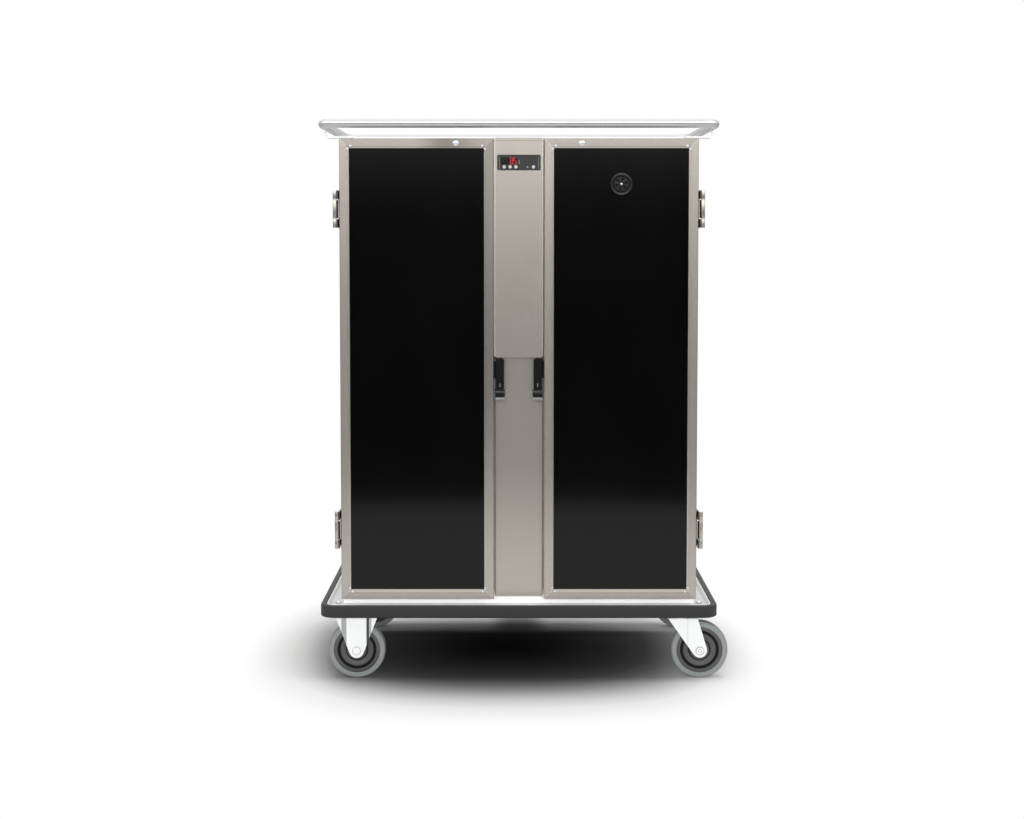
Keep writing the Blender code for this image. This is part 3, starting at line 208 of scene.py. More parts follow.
def drawn(points, closed=False):
    """A wire through points, in edit mode, all of it selected."""
    put_down()
    bpy.ops.mesh.primitive_plane_add(size=0.01, location=points[0])
    bpy.ops.object.mode_set(mode="EDIT")
    bpy.ops.mesh.select_all(action="SELECT")
    bpy.ops.mesh.merge(type="CENTER")
    for here, after in zip(points, points[1:]):
        step = Vector(after) - Vector(here)
        bpy.ops.mesh.extrude_vertices_move(TRANSFORM_OT_translate={"value": step})
    bpy.ops.mesh.select_all(action="SELECT")
    if closed:
        bpy.ops.mesh.edge_face_add()
        bpy.ops.mesh.delete(type="ONLY_FACE")
        bpy.ops.mesh.select_all(action="SELECT")
    return bpy.context.object


def closed_up():
    """Merge what meets, turn the faces outwards and leave edit mode."""
    bpy.ops.mesh.select_all(action="SELECT")
    bpy.ops.mesh.remove_doubles(threshold=0.00002)
    bpy.ops.mesh.normals_make_consistent(inside=False)
    bpy.ops.object.mode_set(mode="OBJECT")
    piece = bpy.context.object
    bpy.ops.object.transform_apply()
    return piece


def point(axis, centre, along, out):
    """A point along an axis and out from it."""
    across = AXES["X" if axis == "Z" else "Z"]
    return Vector(centre) + AXES[axis] * along + across * out


def lathe(profile, axis, centre, steps, closed=False):
    """(along, radius) points turned about an axis through a centre."""
    drawn([point(axis, centre, along, out) for along, out in profile], closed)
    bpy.ops.mesh.spin(steps=steps, angle=math.tau, center=Vector(centre), axis=AXES[axis])
    return closed_up()


def band(near, far, inner, outer, axis, centre, steps):
    """A plain ring between two places along an axis and two radii."""
    profile = [(near, inner), (near, outer), (far, outer), (far, inner)]
    return lathe(profile, axis, centre, steps, closed=True)


def extruded(outline, axis, near, far):
    """An outline drawn across an axis and drawn out along it."""
    along = "XYZ".index(axis)
    drawn([(*spot[:along], near, *spot[along:]) for spot in outline])
    bpy.ops.mesh.edge_face_add()
    bpy.ops.mesh.extrude_region_move(TRANSFORM_OT_translate={"value": AXES[axis] * (far - near)})
    return closed_up()


def swept(profile, centre, half_x, half_y, corner, steps):
    """(inset, level) points run round a rectangle with round corners."""
    drawn([(centre[0], centre[1] - half_y + inset, level) for inset, level in profile], closed=True)
    across, deep = half_x - corner, half_y - corner
    legs = ((across, 0), (0, 2 * deep), (-2 * across, 0), (0, -2 * deep), (across, 0))
    turns = ((1, -1), (1, 1), (-1, 1), (-1, -1), None)
    for leg, turn in zip(legs, turns):
        bpy.ops.mesh.extrude_region_move(TRANSFORM_OT_translate={"value": (*leg, 0)})
        if turn:
            at = (centre[0] + turn[0] * across, centre[1] + turn[1] * deep, 0)
            bpy.ops.mesh.spin(steps=steps, angle=-math.pi / 2, center=at, axis=(0, 0, 1))
    return closed_up()


def block(low, high):
    """A square block between two corners, to be shaped further."""
    put_down()
    low, high = Vector(low), Vector(high)
    bpy.ops.mesh.primitive_cube_add(size=1, location=(low + high) / 2)
    bpy.context.object.dimensions = high - low
    bpy.ops.object.transform_apply()
    return bpy.context.object


def eased(points, radius, steps):
    """The points of a closed outline or profile with their corners rounded."""
    points = [Vector(each) for each in points]
    result = []
    for here, spot in enumerate(points):
        before = points[here - 1] - spot
        after = points[(here + 1) % len(points)] - spot
        reach = min(radius, before.length * 0.45, after.length * 0.45)
        start, end = spot + before.normalized() * reach, spot + after.normalized() * reach
        for step in range(steps + 1):
            share = step / steps
            result.append(start * (1 - share) ** 2 + spot * 2 * share * (1 - share) + end * share**2)
    return [tuple(each) for each in result]


def ring_of(centre, radius, steps):
    """Points round a circle."""
    turns = [math.tau * step / steps for step in range(steps)]
    return [(centre[0] + radius * math.cos(t), centre[1] + radius * math.sin(t)) for t in turns]


def plate_outline(centre, half_u, half_v, corner, steps=6):
    """A rectangle with round corners."""
    ways = ((-1, -1), (1, -1), (1, 1), (-1, 1))
    square = [(centre[0] + u * half_u, centre[1] + v * half_v) for u, v in ways]
    return eased(square, corner, steps)


def smooth(piece, degrees=34):
    """Shade smooth but for edges sharper than an angle."""
    take(piece)
    bpy.ops.object.shade_smooth_by_angle(angle=math.radians(degrees))
    return piece


def bevelled(piece, width, segments=2, degrees=24):
    """Round every edge sharper than an angle and smooth the result."""
    take(piece)
    modifier = piece.modifiers.new("edges", "BEVEL")
    modifier.width = width
    modifier.segments = segments
    modifier.limit_method = "ANGLE"
    modifier.angle_limit = math.radians(degrees)
    modifier.use_clamp_overlap = True
    bpy.ops.object.modifier_apply(modifier=modifier.name)
    smooth(piece)
    modifier = piece.modifiers.new("flats", "WEIGHTED_NORMAL")
    modifier.keep_sharp = True
    bpy.ops.object.modifier_apply(modifier=modifier.name)
    return piece


def carved(piece, tool):
    """Cut a tool's shape out of a piece, and drop the tool."""
    take(piece)
    modifier = piece.modifiers.new("carve", "BOOLEAN")
    modifier.operation = "DIFFERENCE"
    modifier.solver = "EXACT"
    modifier.object = tool
    bpy.ops.object.modifier_apply(modifier=modifier.name)
    bpy.data.objects.remove(tool)
    return piece


def joined(pieces):
    """Several meshes made one."""
    take(*pieces)
    if len(pieces) > 1:
        bpy.ops.object.join()
    return bpy.context.object


def copied(piece, shift):
    """A copy moved by a shift."""
    take(piece)
    bpy.ops.object.duplicate()
    copy = bpy.context.object
    copy.location += Vector(shift)
    bpy.ops.object.transform_apply()
    return copy


def settled(piece, name, finish, body, nodes=()):
    """Name a finished piece, give it its surface and hang it on the body that it rides on."""
    take(piece)
    bpy.ops.object.transform_apply()
    piece.name = name
    piece.data.name = name
    piece.data.materials.clear()
    piece.data.materials.append(surface(finish))
    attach(piece, body)
    if nodes:
        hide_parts(*nodes)
    return piece


def body_of(node):
    """The body that a CAD node rides on."""
    bodies = frame["record"]["behaviour"]["bodies"]
    return next(name for name, nodes in bodies.items() if node in nodes)


def refined(node, finish, width, segments=2, degrees=24):
    """A copy of a CAD node with its facets merged and its edges rounded stands for the node."""
    take(frame["nodes"][node])
    bpy.ops.object.duplicate()
    piece = bpy.context.object
    bpy.ops.object.parent_clear(type="CLEAR_KEEP_TRANSFORM")
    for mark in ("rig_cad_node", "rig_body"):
        if mark in piece:
            del piece[mark]
    bpy.ops.mesh.customdata_custom_splitnormals_clear()
    bpy.ops.object.mode_set(mode="EDIT")
    bpy.ops.mesh.select_all(action="SELECT")
    bpy.ops.mesh.remove_doubles(threshold=0.00001)
    bpy.ops.mesh.dissolve_limited(angle_limit=math.radians(1))
    closed_up()
    bevelled(piece, width, segments, degrees)
    return settled(piece, node + "_piece", finish, body_of(node), (node,))


def resurfaced(node, finish):
    """A CAD node whose shape is right keeps it and gets a better surface."""
    for material_slot in frame["nodes"][node].material_slots:
        material_slot.material = surface(finish)


HEAD_DOME = ((0.35, 0.98), (0.7, 0.82), (0.93, 0.5), (1, 0.2), (1, 0))


def screw(centre, axis, way, radius, height, drive=None):
    """One screw or bolt head standing off a face, way being the side it stands on."""
    profile = [(-SEAT_GAP * way, 0), (-SEAT_GAP * way, radius)]
    profile += [(height * rise * way, radius * out) for rise, out in HEAD_DOME]
    head = lathe(profile, axis, centre, 24)
    reach = radius * 0.55
    far = Vector(centre) + AXES[axis] * height * way * 1.5
    floor = Vector(centre) + AXES[axis] * height * way * 0.4
    along = "XYZ".index(axis)
    u, v = (index for index in range(3) if index != along)
    if drive == "hex":
        carved(head, extruded(ring_of((far[u], far[v]), reach, 6), axis, floor[along], far[along]))
    elif drive:
        thin = radius * 0.11
        arms = ((reach, thin), (thin, reach)) if drive == "cross" else ((reach * 1.5, thin),)
        for arm in arms:
            spread = Vector((0, 0, 0))
            spread[u], spread[v] = arm
            low = [min(pair) for pair in zip(far - spread, floor - spread)]
            high = [max(pair) for pair in zip(far + spread, floor + spread)]
            carved(head, block(low, high))
    return smooth(head)


def screws(name, spots, axis, way, radius, height, drive=None, finish="bright_screw", body="cart"):
    """Like heads: one is modelled and the rest are copies of it, joined for each body."""
    first = screw(spots[0], axis, way, radius, height, drive)
    heads = [first] + [copied(first, Vector(spot) - Vector(spots[0])) for spot in spots[1:]]
    return settled(joined(heads), name, finish, body)


# ---- surfaces ----


class Value:
    """A number socket that can be written in sums."""

    def __init__(self, net, socket):
        self.net = net
        self.socket = socket

    def worked(self, operation, *others):
        """The outcome of a sum that starts with this number."""
        return self.net.maths(operation, self, *others)

    def __rsub__(self, other):
        return self.net.maths("SUBTRACT", other, self)

    __add__ = __radd__ = partialmethod(worked, "ADD")
    __mul__ = __rmul__ = partialmethod(worked, "MULTIPLY")
    __sub__ = partialmethod(worked, "SUBTRACT")
    __gt__ = partialmethod(worked, "GREATER_THAN")
    __lt__ = partialmethod(worked, "LESS_THAN")
    __abs__ = partialmethod(worked, "ABSOLUTE")


class Net:
    """A node tree filled by calls and sums."""

    def __init__(self, tree):
        self.tree = tree
        tree.nodes.clear()

    def add(self, kind, inputs=None, output=0, **settings):
        """A node of a kind, with its sockets' values or links and its settings."""
        node = self.tree.nodes.new("ShaderNode" + kind)
        for key, value in settings.items():
            if key == "stops":
                self.set_stops(node.color_ramp, value)
            else:
                setattr(node, key, value)
        for key, value in (inputs or {}).items():
            if isinstance(value, Value):
                self.tree.links.new(value.socket, node.inputs[key])
            else:
                node.inputs[key].default_value = value
        return Value(self, node.outputs[output]) if node.outputs else node

    def set_stops(self, ramp, stops):
        """Give a ramp (position, grey level) stops."""
        ramp.interpolation = "LINEAR"
        while len(ramp.elements) < len(stops):
            ramp.elements.new(0.5)
        for element, (position, level) in zip(ramp.elements, stops):
            element.position = position
            element.color = (level, level, level, 1)

    def ramp(self, value, stops):
        """A number that follows (position, level) stops, levels from 0 to 1."""
        return self.add("ValToRGB", {0: value}, stops=stops)

    def maths(self, operation, *values):
        """One sum of numbers or sockets."""
        return self.add("Math", dict(enumerate(values)), operation=operation)

    def most(self, first, second):
        """The larger of two."""
        return self.maths("MAXIMUM", first, second)

    def place(self):
        """Keep the object coordinates, whole for noise and as three numbers."""
        self.where = self.add("TexCoord", output="Object")
        self.xyz = [self.add("SeparateXYZ", {0: self.where}, part) for part in range(3)]

    def rise(self, value, low, high):
        """0 below low, 1 above high, smooth between."""
        ends = {"Value": value, "From Min": low, "From Max": high}
        return self.add("MapRange", ends, interpolation_type="SMOOTHSTEP")

    def noise(self, size, detail, stretch=(1, 1, 1)):
        """Noise whose features are about size metres across, drawn out by a stretch."""
        scale = tuple(1 / (size * each) for each in stretch)
        where = self.add("Mapping", {"Vector": self.where, "Scale": scale})
        inputs = {"Vector": where, "Scale": 1.0, "Detail": detail, "Roughness": 0.5}
        return self.add("TexNoise", inputs) - 0.5

    def blend(self, factor, first, second):
        """One colour or another by a factor; a colour is three numbers or a socket."""
        def full(tone):
            return tone if isinstance(tone, Value) else (*tone, 1)
        inputs = {0: factor, 6: full(first), 7: full(second)}
        return self.add("Mix", inputs, 2, data_type="RGBA")

    def tinted(self, tone, amount):
        """A colour made lighter or darker by an amount about zero."""
        factor = self.add("CombineXYZ", {0: 1 + amount, 1: 1 + amount, 2: 1 + amount})
        return self.add("VectorMath", {0: tone, 1: factor}, operation="MULTIPLY")

    def bump(self, height, depth):
        """A normal from a height that runs from 0 to 1 and is depth metres deep."""
        return self.add("Bump", {"Height": height, "Strength": 1.0, "Distance": depth})

    def done(self, **inputs):
        """The shader; its sockets' names are written with underscores."""
        inputs = {key.replace("_", " "): value for key, value in inputs.items()}
        self.add("OutputMaterial", {0: self.add("BsdfPrincipled", inputs)})

    def coat(self, tone, amount, rough, height, depth, **others):
        """The usual shader: a tinted colour, a varied roughness and a fine bump."""
        colour, normal = self.tinted(tone, amount), self.bump(height, depth)
        self.done(**others, Base_Color=colour, Roughness=rough, Normal=normal)


def grain(net, stretch=(1, 1, 60)):
    """Grain lines of rolled sheet."""
    return net.noise(0.0011, 3, stretch)


def satin(net, tone, lines, shade):
    """Satin champagne sheet: fine grain lines over soft clouding, with the painted light and shade that
    each caller passes in.
    """
    cloud = net.noise(0.22, 3)
    rough = 0.245 + lines * 0.01 + cloud * 0.02
    net.coat(tone, shade + lines * 0.014 + cloud * 0.015, rough, lines, 0.0000002, Metallic=0.92)


# Painted highlights (above zero) and painted shade (below zero) on the zones of the door frames' sheet,
# in the order of frame_metal.
FRAME_PAINTED_LIGHT = {
    "seam_highlight": 0.26, "lip_highlight": 0.13, "rim": -0.10, "foot_shade": -0.24, "inner_left_shade": -0.34, "top_left_shade": -0.36,
    "slot": -0.88, "on_end": -0.12,
}


def frame_metal(net, colours):
    """The door frames' sheet: its grain turns at each mitre. Painted highlights lie along the mitre
    seams and inner lips; painted shade lies on the outer rims, the bottom members' step, the left
    door's inner member and part of its top member, and the top and bottom members, with a painted
    shadow in the slots beside the hinge barrels.

    inward runs from 0 at a frame's outer edge down to -FRAME_MEMBER at its inner one.
    """
    x, y, z = net.xyz
    side = abs(x - CENTRE_X)
    off_x = abs(side - DOOR_X) - DOOR_HALF.x
    off_z = abs(z - DOOR_Z) - DOOR_HALF.z
    inward = net.most(off_x, off_z)
    on_end = off_z > off_x
    at_front = y < FACE_Y + 0.012
    # Painted highlight along each mitre seam.
    seam_highlight = net.rise(abs(off_x - off_z), 0.0013, 0.0006) * at_front
    lines = grain(net) * (1 - on_end) + grain(net, (60, 1, 1)) * on_end
    foot = on_end * (z < DOOR_Z)
    # Painted highlight on the inner lip, painted shade on the outer rim.
    lip_highlight = net.rise(inward, -0.0232, -0.0240) * (1 - foot)
    rim = net.rise(inward, -0.0030, -0.0012)
    left = x < CENTRE_X
    # Painted shade down the left door's inner member and across part of its top member.
    inner_left_shade = left * (x > CENTRE_X - 0.1) * (1 - on_end) * net.rise(z, 0.55, 0.86)
    top_left_shade = left * on_end * (z > DOOR_Z) * net.rise(x, CENTRE_X - 0.30, CENTRE_X - 0.205)
    top_left_shade = top_left_shade * (1 - net.rise(x, CENTRE_X - 0.205, CENTRE_X - 0.09) * 0.75)
    # Painted shadow in the slot between each hinge barrel and the door; below it, painted shade on the
    # bottom members' step.
    slot = net.rise(side, HINGE_SLOT[0] - 0.0005, HINGE_SLOT[0]) * (side < HINGE_SLOT[1])
    foot_shade = foot * net.rise(inward, -0.0200, -0.0225)
    # Every zone is painted light or shade; on_end, which also turns the grain, darkens the top and
    # bottom members as painted shade.
    painted_zones = (seam_highlight, lip_highlight, rim, foot_shade, inner_left_shade, top_left_shade, slot, on_end)
    shade = sum(zone * tint for zone, tint in zip(painted_zones, FRAME_PAINTED_LIGHT.values()))
    satin(net, colours.champagne, lines, shade)


def cover_metal(net, colours):
    """The column's covers: painted highlights along the folds at their sides and along their foot, and
    painted shade along the bend near the top.
    """
    x, _, z = net.xyz
    # Painted highlights on the side folds and the foot, painted shade along the bend.
    folds = net.rise(abs(x - CENTRE_X), 0.0636, 0.0646)
    foot = (z > COLUMN_LOW.z) * (z < COLUMN_LOW.z + 0.0016)
    bend_shade = net.rise(abs(z - COLUMN_BEND), 0.0016, 0.0005)
    shade = net.most(folds, foot) * 0.16 - bend_shade * 0.3
    satin(net, colours.champagne, grain(net), shade)


def hinge_metal(net, colours):
    """The hinges' straps and barrels, with painted shadow in the slot between barrel and strap."""
    x, y, _ = net.xyz
    side = abs(x - CENTRE_X)
    # Painted shadow in the slot beside the barrel.
    slot = (side > HINGE_SLOT[0]) * (side < HINGE_SLOT[1] - 0.0006) * (y < FACE_Y + 0.03)
    satin(net, colours.champagne, grain(net), slot * -0.75)


def lined_panel(net, colours):
    """Champagne sheet outside, brushed liner steel on the faces that look into the cabinet."""
    x, y, z = net.xyz
    outside = net.rise(abs(x - CENTRE_X), SIDE_X - SKIN - 0.0005, SIDE_X - SKIN)
    outside = net.most(outside, y > -FACE_Y - SKIN - 0.0006)
    outside = net.most(outside, z > ROOF_Z - SKIN)
    lines = grain(net, (1, 1, 45))
    cloud = net.noise(0.22, 3)
    tone = net.blend(outside, colours.steel, colours.champagne)
    rough = 0.34 + lines * 0.03 + cloud * 0.05
    net.coat(tone, lines * 0.035 + cloud * 0.025, rough, lines, 0.000002, Metallic=0.92)


def laminate(net, colours):
    """Gloss black laminate with a faint orange-peel emboss and the odd soft smear."""
    peel = net.noise(0.0016, 2)
    smear = net.noise(0.16, 4, (1, 1, 1.8))
    rough = 0.09 + smear * 0.04 + peel * 0.01
    net.coat(colours.laminate, smear * 0.5 + peel * 0.15, rough, peel, 0.000004, IOR=1.40)


def chrome(net, colours):
    """Polished tube with the faint lines of its last polishing belt."""
    lines = net.noise(0.0007, 2, (30, 1, 1))
    haze = net.noise(0.05, 3)
    rough = 0.20 + haze * 0.04 + lines * 0.02
    net.coat(colours.chrome, haze * 0.06, rough, lines, 0.0000015, Metallic=1.0)


def zinc(net, colours):
    """Bright zinc plate, a little cloudy, with fine drawing marks from the press."""
    zinc_plate(net, colours.zinc, 0.0)


def zinc_plate(net, tone, shade):
    """Cloudy plating of a tone, made lighter or darker by a painted shade."""
    cloud = net.noise(0.018, 4)
    marks = net.noise(0.0012, 2, (1, 1, 9))
    rough = 0.40 + cloud * 0.12
    amount = shade + cloud * 0.05 + marks * 0.02
    net.coat(tone, amount, rough, cloud * 0.5 + marks, 0.000006, Metallic=0.35)


def fork_zinc(net, colours):
    """Zinc forks: painted shade on the slopes beside the fixed fork's rib and along the swivel fork's
    fold.
    """
    x, _, z = net.xyz
    across = x - FORK_X
    high_up = net.rise(z, 0.092, 0.100)
    # Painted shade on the slopes and crest beside the fixed fork's rib, high up, and along the swivel
    # fork's fold.
    left = net.rise(across, -0.0270, -0.0290) * net.rise(across, -0.0440, -0.0415)
    painted_crest = net.rise(across, 0.0270, 0.0290) * net.rise(across, 0.0355, 0.0335)
    slope_shade = net.rise(across, 0.0325, 0.0345) * net.rise(across, 0.0440, 0.0390)
    fold = net.rise(abs(x - CENTRE_X - FORK_FOLD), 0.0030, 0.0004)
    rib_shade = (left * 0.56 + painted_crest * 0.93 + slope_shade * 0.50) * high_up
    zinc_plate(net, colours.zinc, rib_shade * -1 - fold * 0.14)


def pale_sheet(net, colours):
    """Pale coated sheet with a fine texture, darkened by painted shade beside the cabinet."""
    x, _, z = net.xyz
    fine = net.noise(0.0013, 3)
    cloud = net.noise(0.08, 3)
    # Painted shade on the deck beside the cabinet.
    beside = (abs(x - CENTRE_X) > SIDE_X) * (z < DECK_Z)
    rough = 0.5 + fine * 0.06
    net.coat(colours.pale, cloud * 0.03 + fine * 0.02 - beside * 0.26, rough, fine, 0.000003)


def moulded(net, tone, rough, size, depth, level=1.5):
    """Moulded plastic or rubber with a fine spark-eroded grain."""
    fine = net.noise(size, 2)
    cloud = net.noise(0.03, 3)
    rough = rough + fine * 0.08 + cloud * 0.06
    net.coat(tone, fine * 0.12 + cloud * 0.14, rough, fine, depth, IOR=level)


def tyre_rubber(net, colours):
    """Grey non-marking rubber, its tone varying in fine grain and clouds."""
    fine = net.noise(0.0008, 2)
    cloud = net.noise(0.02, 4)
    rough = 0.66 + fine * 0.10 + cloud * 0.08
    net.coat(colours.tyre, fine * 0.10 + cloud * 0.12, rough, fine + cloud * 0.4, 0.00004)


def vent_plastic(net, colours):
    """The vent's plastic: a painted highlight on its rounded rim, its disc's face lightened, and
    painted shade in the slots and hollows.
    """
    x, y, z = net.xyz
    at = middle("vent_disc")
    off_x, off_z = x - at.x, z - at.z
    out = net.maths("POWER", off_x * off_x + off_z * off_z, 0.5)
    steep = off_z * off_z * (1 / VENT_RIM**2)
    # Painted highlight on the rim's crest, a lighter disc face, painted shade everywhere else.
    painted_crest = net.rise(abs(out - VENT_RIM), 0.0032, 0.0014) * (steep * 0.75 + 0.25)
    face = (out < VENT_DISC) * (y < corners("vent_disc")[0].y + 0.0006)
    tone = net.tinted(colours.black, painted_crest * 15 + face * 4 - (1 - painted_crest) * (1 - face) * 0.7)
    moulded(net, tone, 0.5, 0.0006, 0.000004, 1.28)


def liner_steel(net, colours, lines=(45, 1, 1)):
    """Brushed stainless liner."""
    fine = net.noise(0.0008, 3, lines)
    cloud = net.noise(0.15, 3)
    rough = 0.30 + fine * 0.12 + cloud * 0.05
    net.coat(colours.steel, fine * 0.09 + cloud * 0.05, rough, fine, 0.00002, Metallic=0.96)


def rack_steel(net, colours):
    """The same steel, brushed from front to back."""
    liner_steel(net, colours, (1, 45, 1))


def bright_screw(net, colours):
    """Nickelled screw heads with turning marks."""
    marks = net.noise(0.0006, 3)
    net.coat(colours.screw, marks * 0.16, 0.26 + marks * 0.14, marks, 0.00002, Metallic=0.85)


def window_pane(net, colours):
    """Smoked display pane with a faint haze."""
    haze = net.noise(0.006, 2)
    net.done(Base_Color=net.tinted(colours.pane, haze * 0.3), Roughness=0.12 + haze * 0.05, IOR=1.45)


def lit_figure(net, colours):
    """Lit bars, their brightness varying in small spots."""
    spots = net.noise(0.0016, 1)
    tone = net.tinted(colours.glow, spots * 0.5)
    net.done(Base_Color=tone, Emission_Color=tone, Roughness=0.4, Emission_Strength=0.26)


def button_metal(net, colours):
    """Spun button caps with fine rings about each."""
    marks = net.noise(0.0005, 2)
    net.coat(colours.button, marks * 0.14, 0.30 + marks * 0.16, marks, 0.00001, Metallic=0.6)


def catch_metal(net, colours):
    """Cast catch, one material painted as lit and shaded: a dark upper jaw as painted shade, a silver
    lower jaw as painted light, and a black mouth between them as painted shadow.
    """
    z = net.xyz[2]
    low, high = corners("left_latch_catch")
    upper = z > high.z - 0.0119
    lower = z < low.z + 0.0111
    # Painted shade and light: dark upper jaw, silver lower jaw, black painted shadow in the mouth.
    tone = net.blend(upper, colours.mouth, colours.catch)
    tone = net.blend(lower, tone, colours.jaw)
    cast = net.noise(0.0012, 3)
    net.coat(tone, cast * 0.18, 0.40 + cast * 0.14, cast, 0.00004, Metallic=lower * 0.4)


# Plain mouldings: colour, roughness, size and depth of the grain, and where it matters the IOR.
MOULDINGS = {
    "bumper_plastic": ("bumper", 0.52, 0.0011, 0.00005),
    "hub_plastic": ("hub", 0.40, 0.0008, 0.00002),
    "black_plastic": ("black", 0.50, 0.0006, 0.000004, 1.28),
    "lever_plastic": ("black", 0.50, 0.0007, 0.000004, 1.22),
    "controller_plastic": ("controller", 0.42, 0.0006, 0.000004),
    "seal_rubber": ("seal", 0.72, 0.0009, 0.00003),
    "soft_buffer": ("buffer", 0.5, 0.0008, 0.000004),
    "dull_mark": ("mark", 0.5, 0.0006, 0.000003),
}
SURFACES = {
    maker.__name__: maker
    for maker in (
        frame_metal, cover_metal, hinge_metal, lined_panel, laminate, chrome, zinc, fork_zinc,
        pale_sheet, tyre_rubber, vent_plastic, liner_steel, rack_steel, bright_screw, window_pane,
        lit_figure, button_metal, catch_metal,
    )
}


def surface(name):
    """The material of that name, made the first time it is asked for."""
    material = bpy.data.materials.get("finish_" + name)
    if material is None:
        material = bpy.data.materials.new("finish_" + name)
        material.use_nodes = True
        net, colours = Net(material.node_tree), bpy.context.scene.cart_colours
        net.place()
        if name in SURFACES:
            SURFACES[name](net, colours)
        else:
            tone, *rest = MOULDINGS[name]
            moulded(net, getattr(colours, tone), *rest)
    return material


# ---- pieces ----


class CART_OT_rail(bpy.types.Operator):
    """Bend the push rail to a closed hoop and set its brackets and their screws"""

    bl_idname = "cart.rail"
    bl_label = "Push rail"

    def execute(self, context):
        sizes = context.scene.cart_sizes
        low, high = corners("push_rail")
        radius = sizes.rail_radius
        tube = [(radius + out, level) for out, level in ring_of((0, high.z - radius), radius, 28)]
        half = (high - low) / 2
        rail = swept(tube, (low + high) / 2, half.x, half.y, sizes.rail_corner, 16)
        settled(smooth(rail), "rail_hoop", "chrome", "cart", ("push_rail",))
        spots = []
        for side, word in SIDES:
            for place in ENDS:
                node = "rail_bracket_" + place + "_" + word
                refined(node, "zinc", sizes.cast_edge)
                foot, top = corners(node)
                inner = foot.x if side > 0 else top.x
                for step in (0.012, 0.030):
                    spots.append((inner + side * step, middle(node).y, foot.z + 0.005))
        screws("bracket_screws", spots, "Z", 1, 0.0048, 0.0026, "hex")
        return {"FINISHED"}


class CART_OT_cabinet(bpy.types.Operator):
    """Round the cabinet's panels and rivet its back"""

    bl_idname = "cart.cabinet"
    bl_label = "Cabinet"

    def execute(self, context):
        sizes = context.scene.cart_sizes
        for node in ("side_panel_left", "side_panel_right", "roof_panel", "back_panel"):
            refined(node, "lined_panel", sizes.sheet_edge, 3)
        refined("floor_panel", "pale_sheet", sizes.sheet_edge, 3)
        low, high = corners("back_panel")
        edge, ends, rows, columns = 0.012, 0.03, 8, 7
        spots = []
        for x in (low.x + edge, high.x - edge):
            for row in range(rows + 1):
                spots.append((x, high.y, low.z + ends + (high.z - low.z - 2 * ends) * row / rows))
        for z in (low.z + edge, high.z - edge):
            for column in range(1, columns):
                spots.append((low.x + (high.x - low.x) * column / columns, high.y, z))
        screws("back_rivets", spots, "Y", 1, 0.0040, 0.0012)
        refined("power_inlet", "black_plastic", sizes.moulded_edge)
        low, high = corners("power_inlet")
        spots = [(x, high.y, middle("power_inlet").z) for x in (low.x + 0.0045, high.x - 0.0045)]
        screws("inlet_screws", spots, "Y", 1, 0.0026, 0.0014, "cross")
        return {"FINISHED"}


class CART_OT_inside(bpy.types.Operator):
    """Finish the partition, the pan racks, the heater and the fan"""

    bl_idname = "cart.inside"
    bl_label = "Inside"

    def execute(self, context):
        sizes = context.scene.cart_sizes
        refined("centre_partition", "liner_steel", sizes.sheet_edge)
        resurfaced("pan_rack_left", "rack_steel")
        resurfaced("pan_rack_right", "rack_steel")
        refined("heater_unit", "zinc", 0.0004)
        refined("fan_impeller", "black_plastic", 0.0003)
        return {"FINISHED"}


class CART_OT_doors(bpy.types.Operator):
    """Dress both doors: mitred frames, gloss panels, cores, gaskets and the frames' screws"""

    bl_idname = "cart.doors"
    bl_label = "Doors"

    def execute(self, context):
        sizes = context.scene.cart_sizes
        in_x = DOOR_HALF.x - FRAME_MEMBER + SEAT_GAP
        in_z = DOOR_HALF.z - FRAME_MEMBER + SEAT_GAP
        for side, word in SIDES:
            body = word + "_door"
            refined(word + "_door_frame", "frame_metal", sizes.moulded_edge, 2)
            resurfaced(word + "_door_panel", "laminate")
            refined(word + "_door_core", "liner_steel", sizes.sheet_edge)
            resurfaced(word + "_door_gasket", "seal_rubber")
            spots = []
            for way in (-1, 1):
                edge = CENTRE_X + side * DOOR_X + way * in_x
                for level, up in ((DOOR_Z + in_z, 1), (DOOR_Z - in_z, -1)):
                    for out, rise in CORNER_SPOTS:
                        spots.append((edge + way * out, FACE_Y, level + up * rise))
            radius = sizes.corner_screw
            screws(word + "_corner_screws", spots, "Y", -1, radius, 0.0006, "slot", body=body)
            spot = (CENTRE_X + side * 0.174, FACE_Y, DOOR_Z + DOOR_HALF.z - 0.0129)
            screws(word + "_top_screw", [spot], "Y", -1, sizes.top_screw, 0.0022, "hex", body=body)
        return {"FINISHED"}


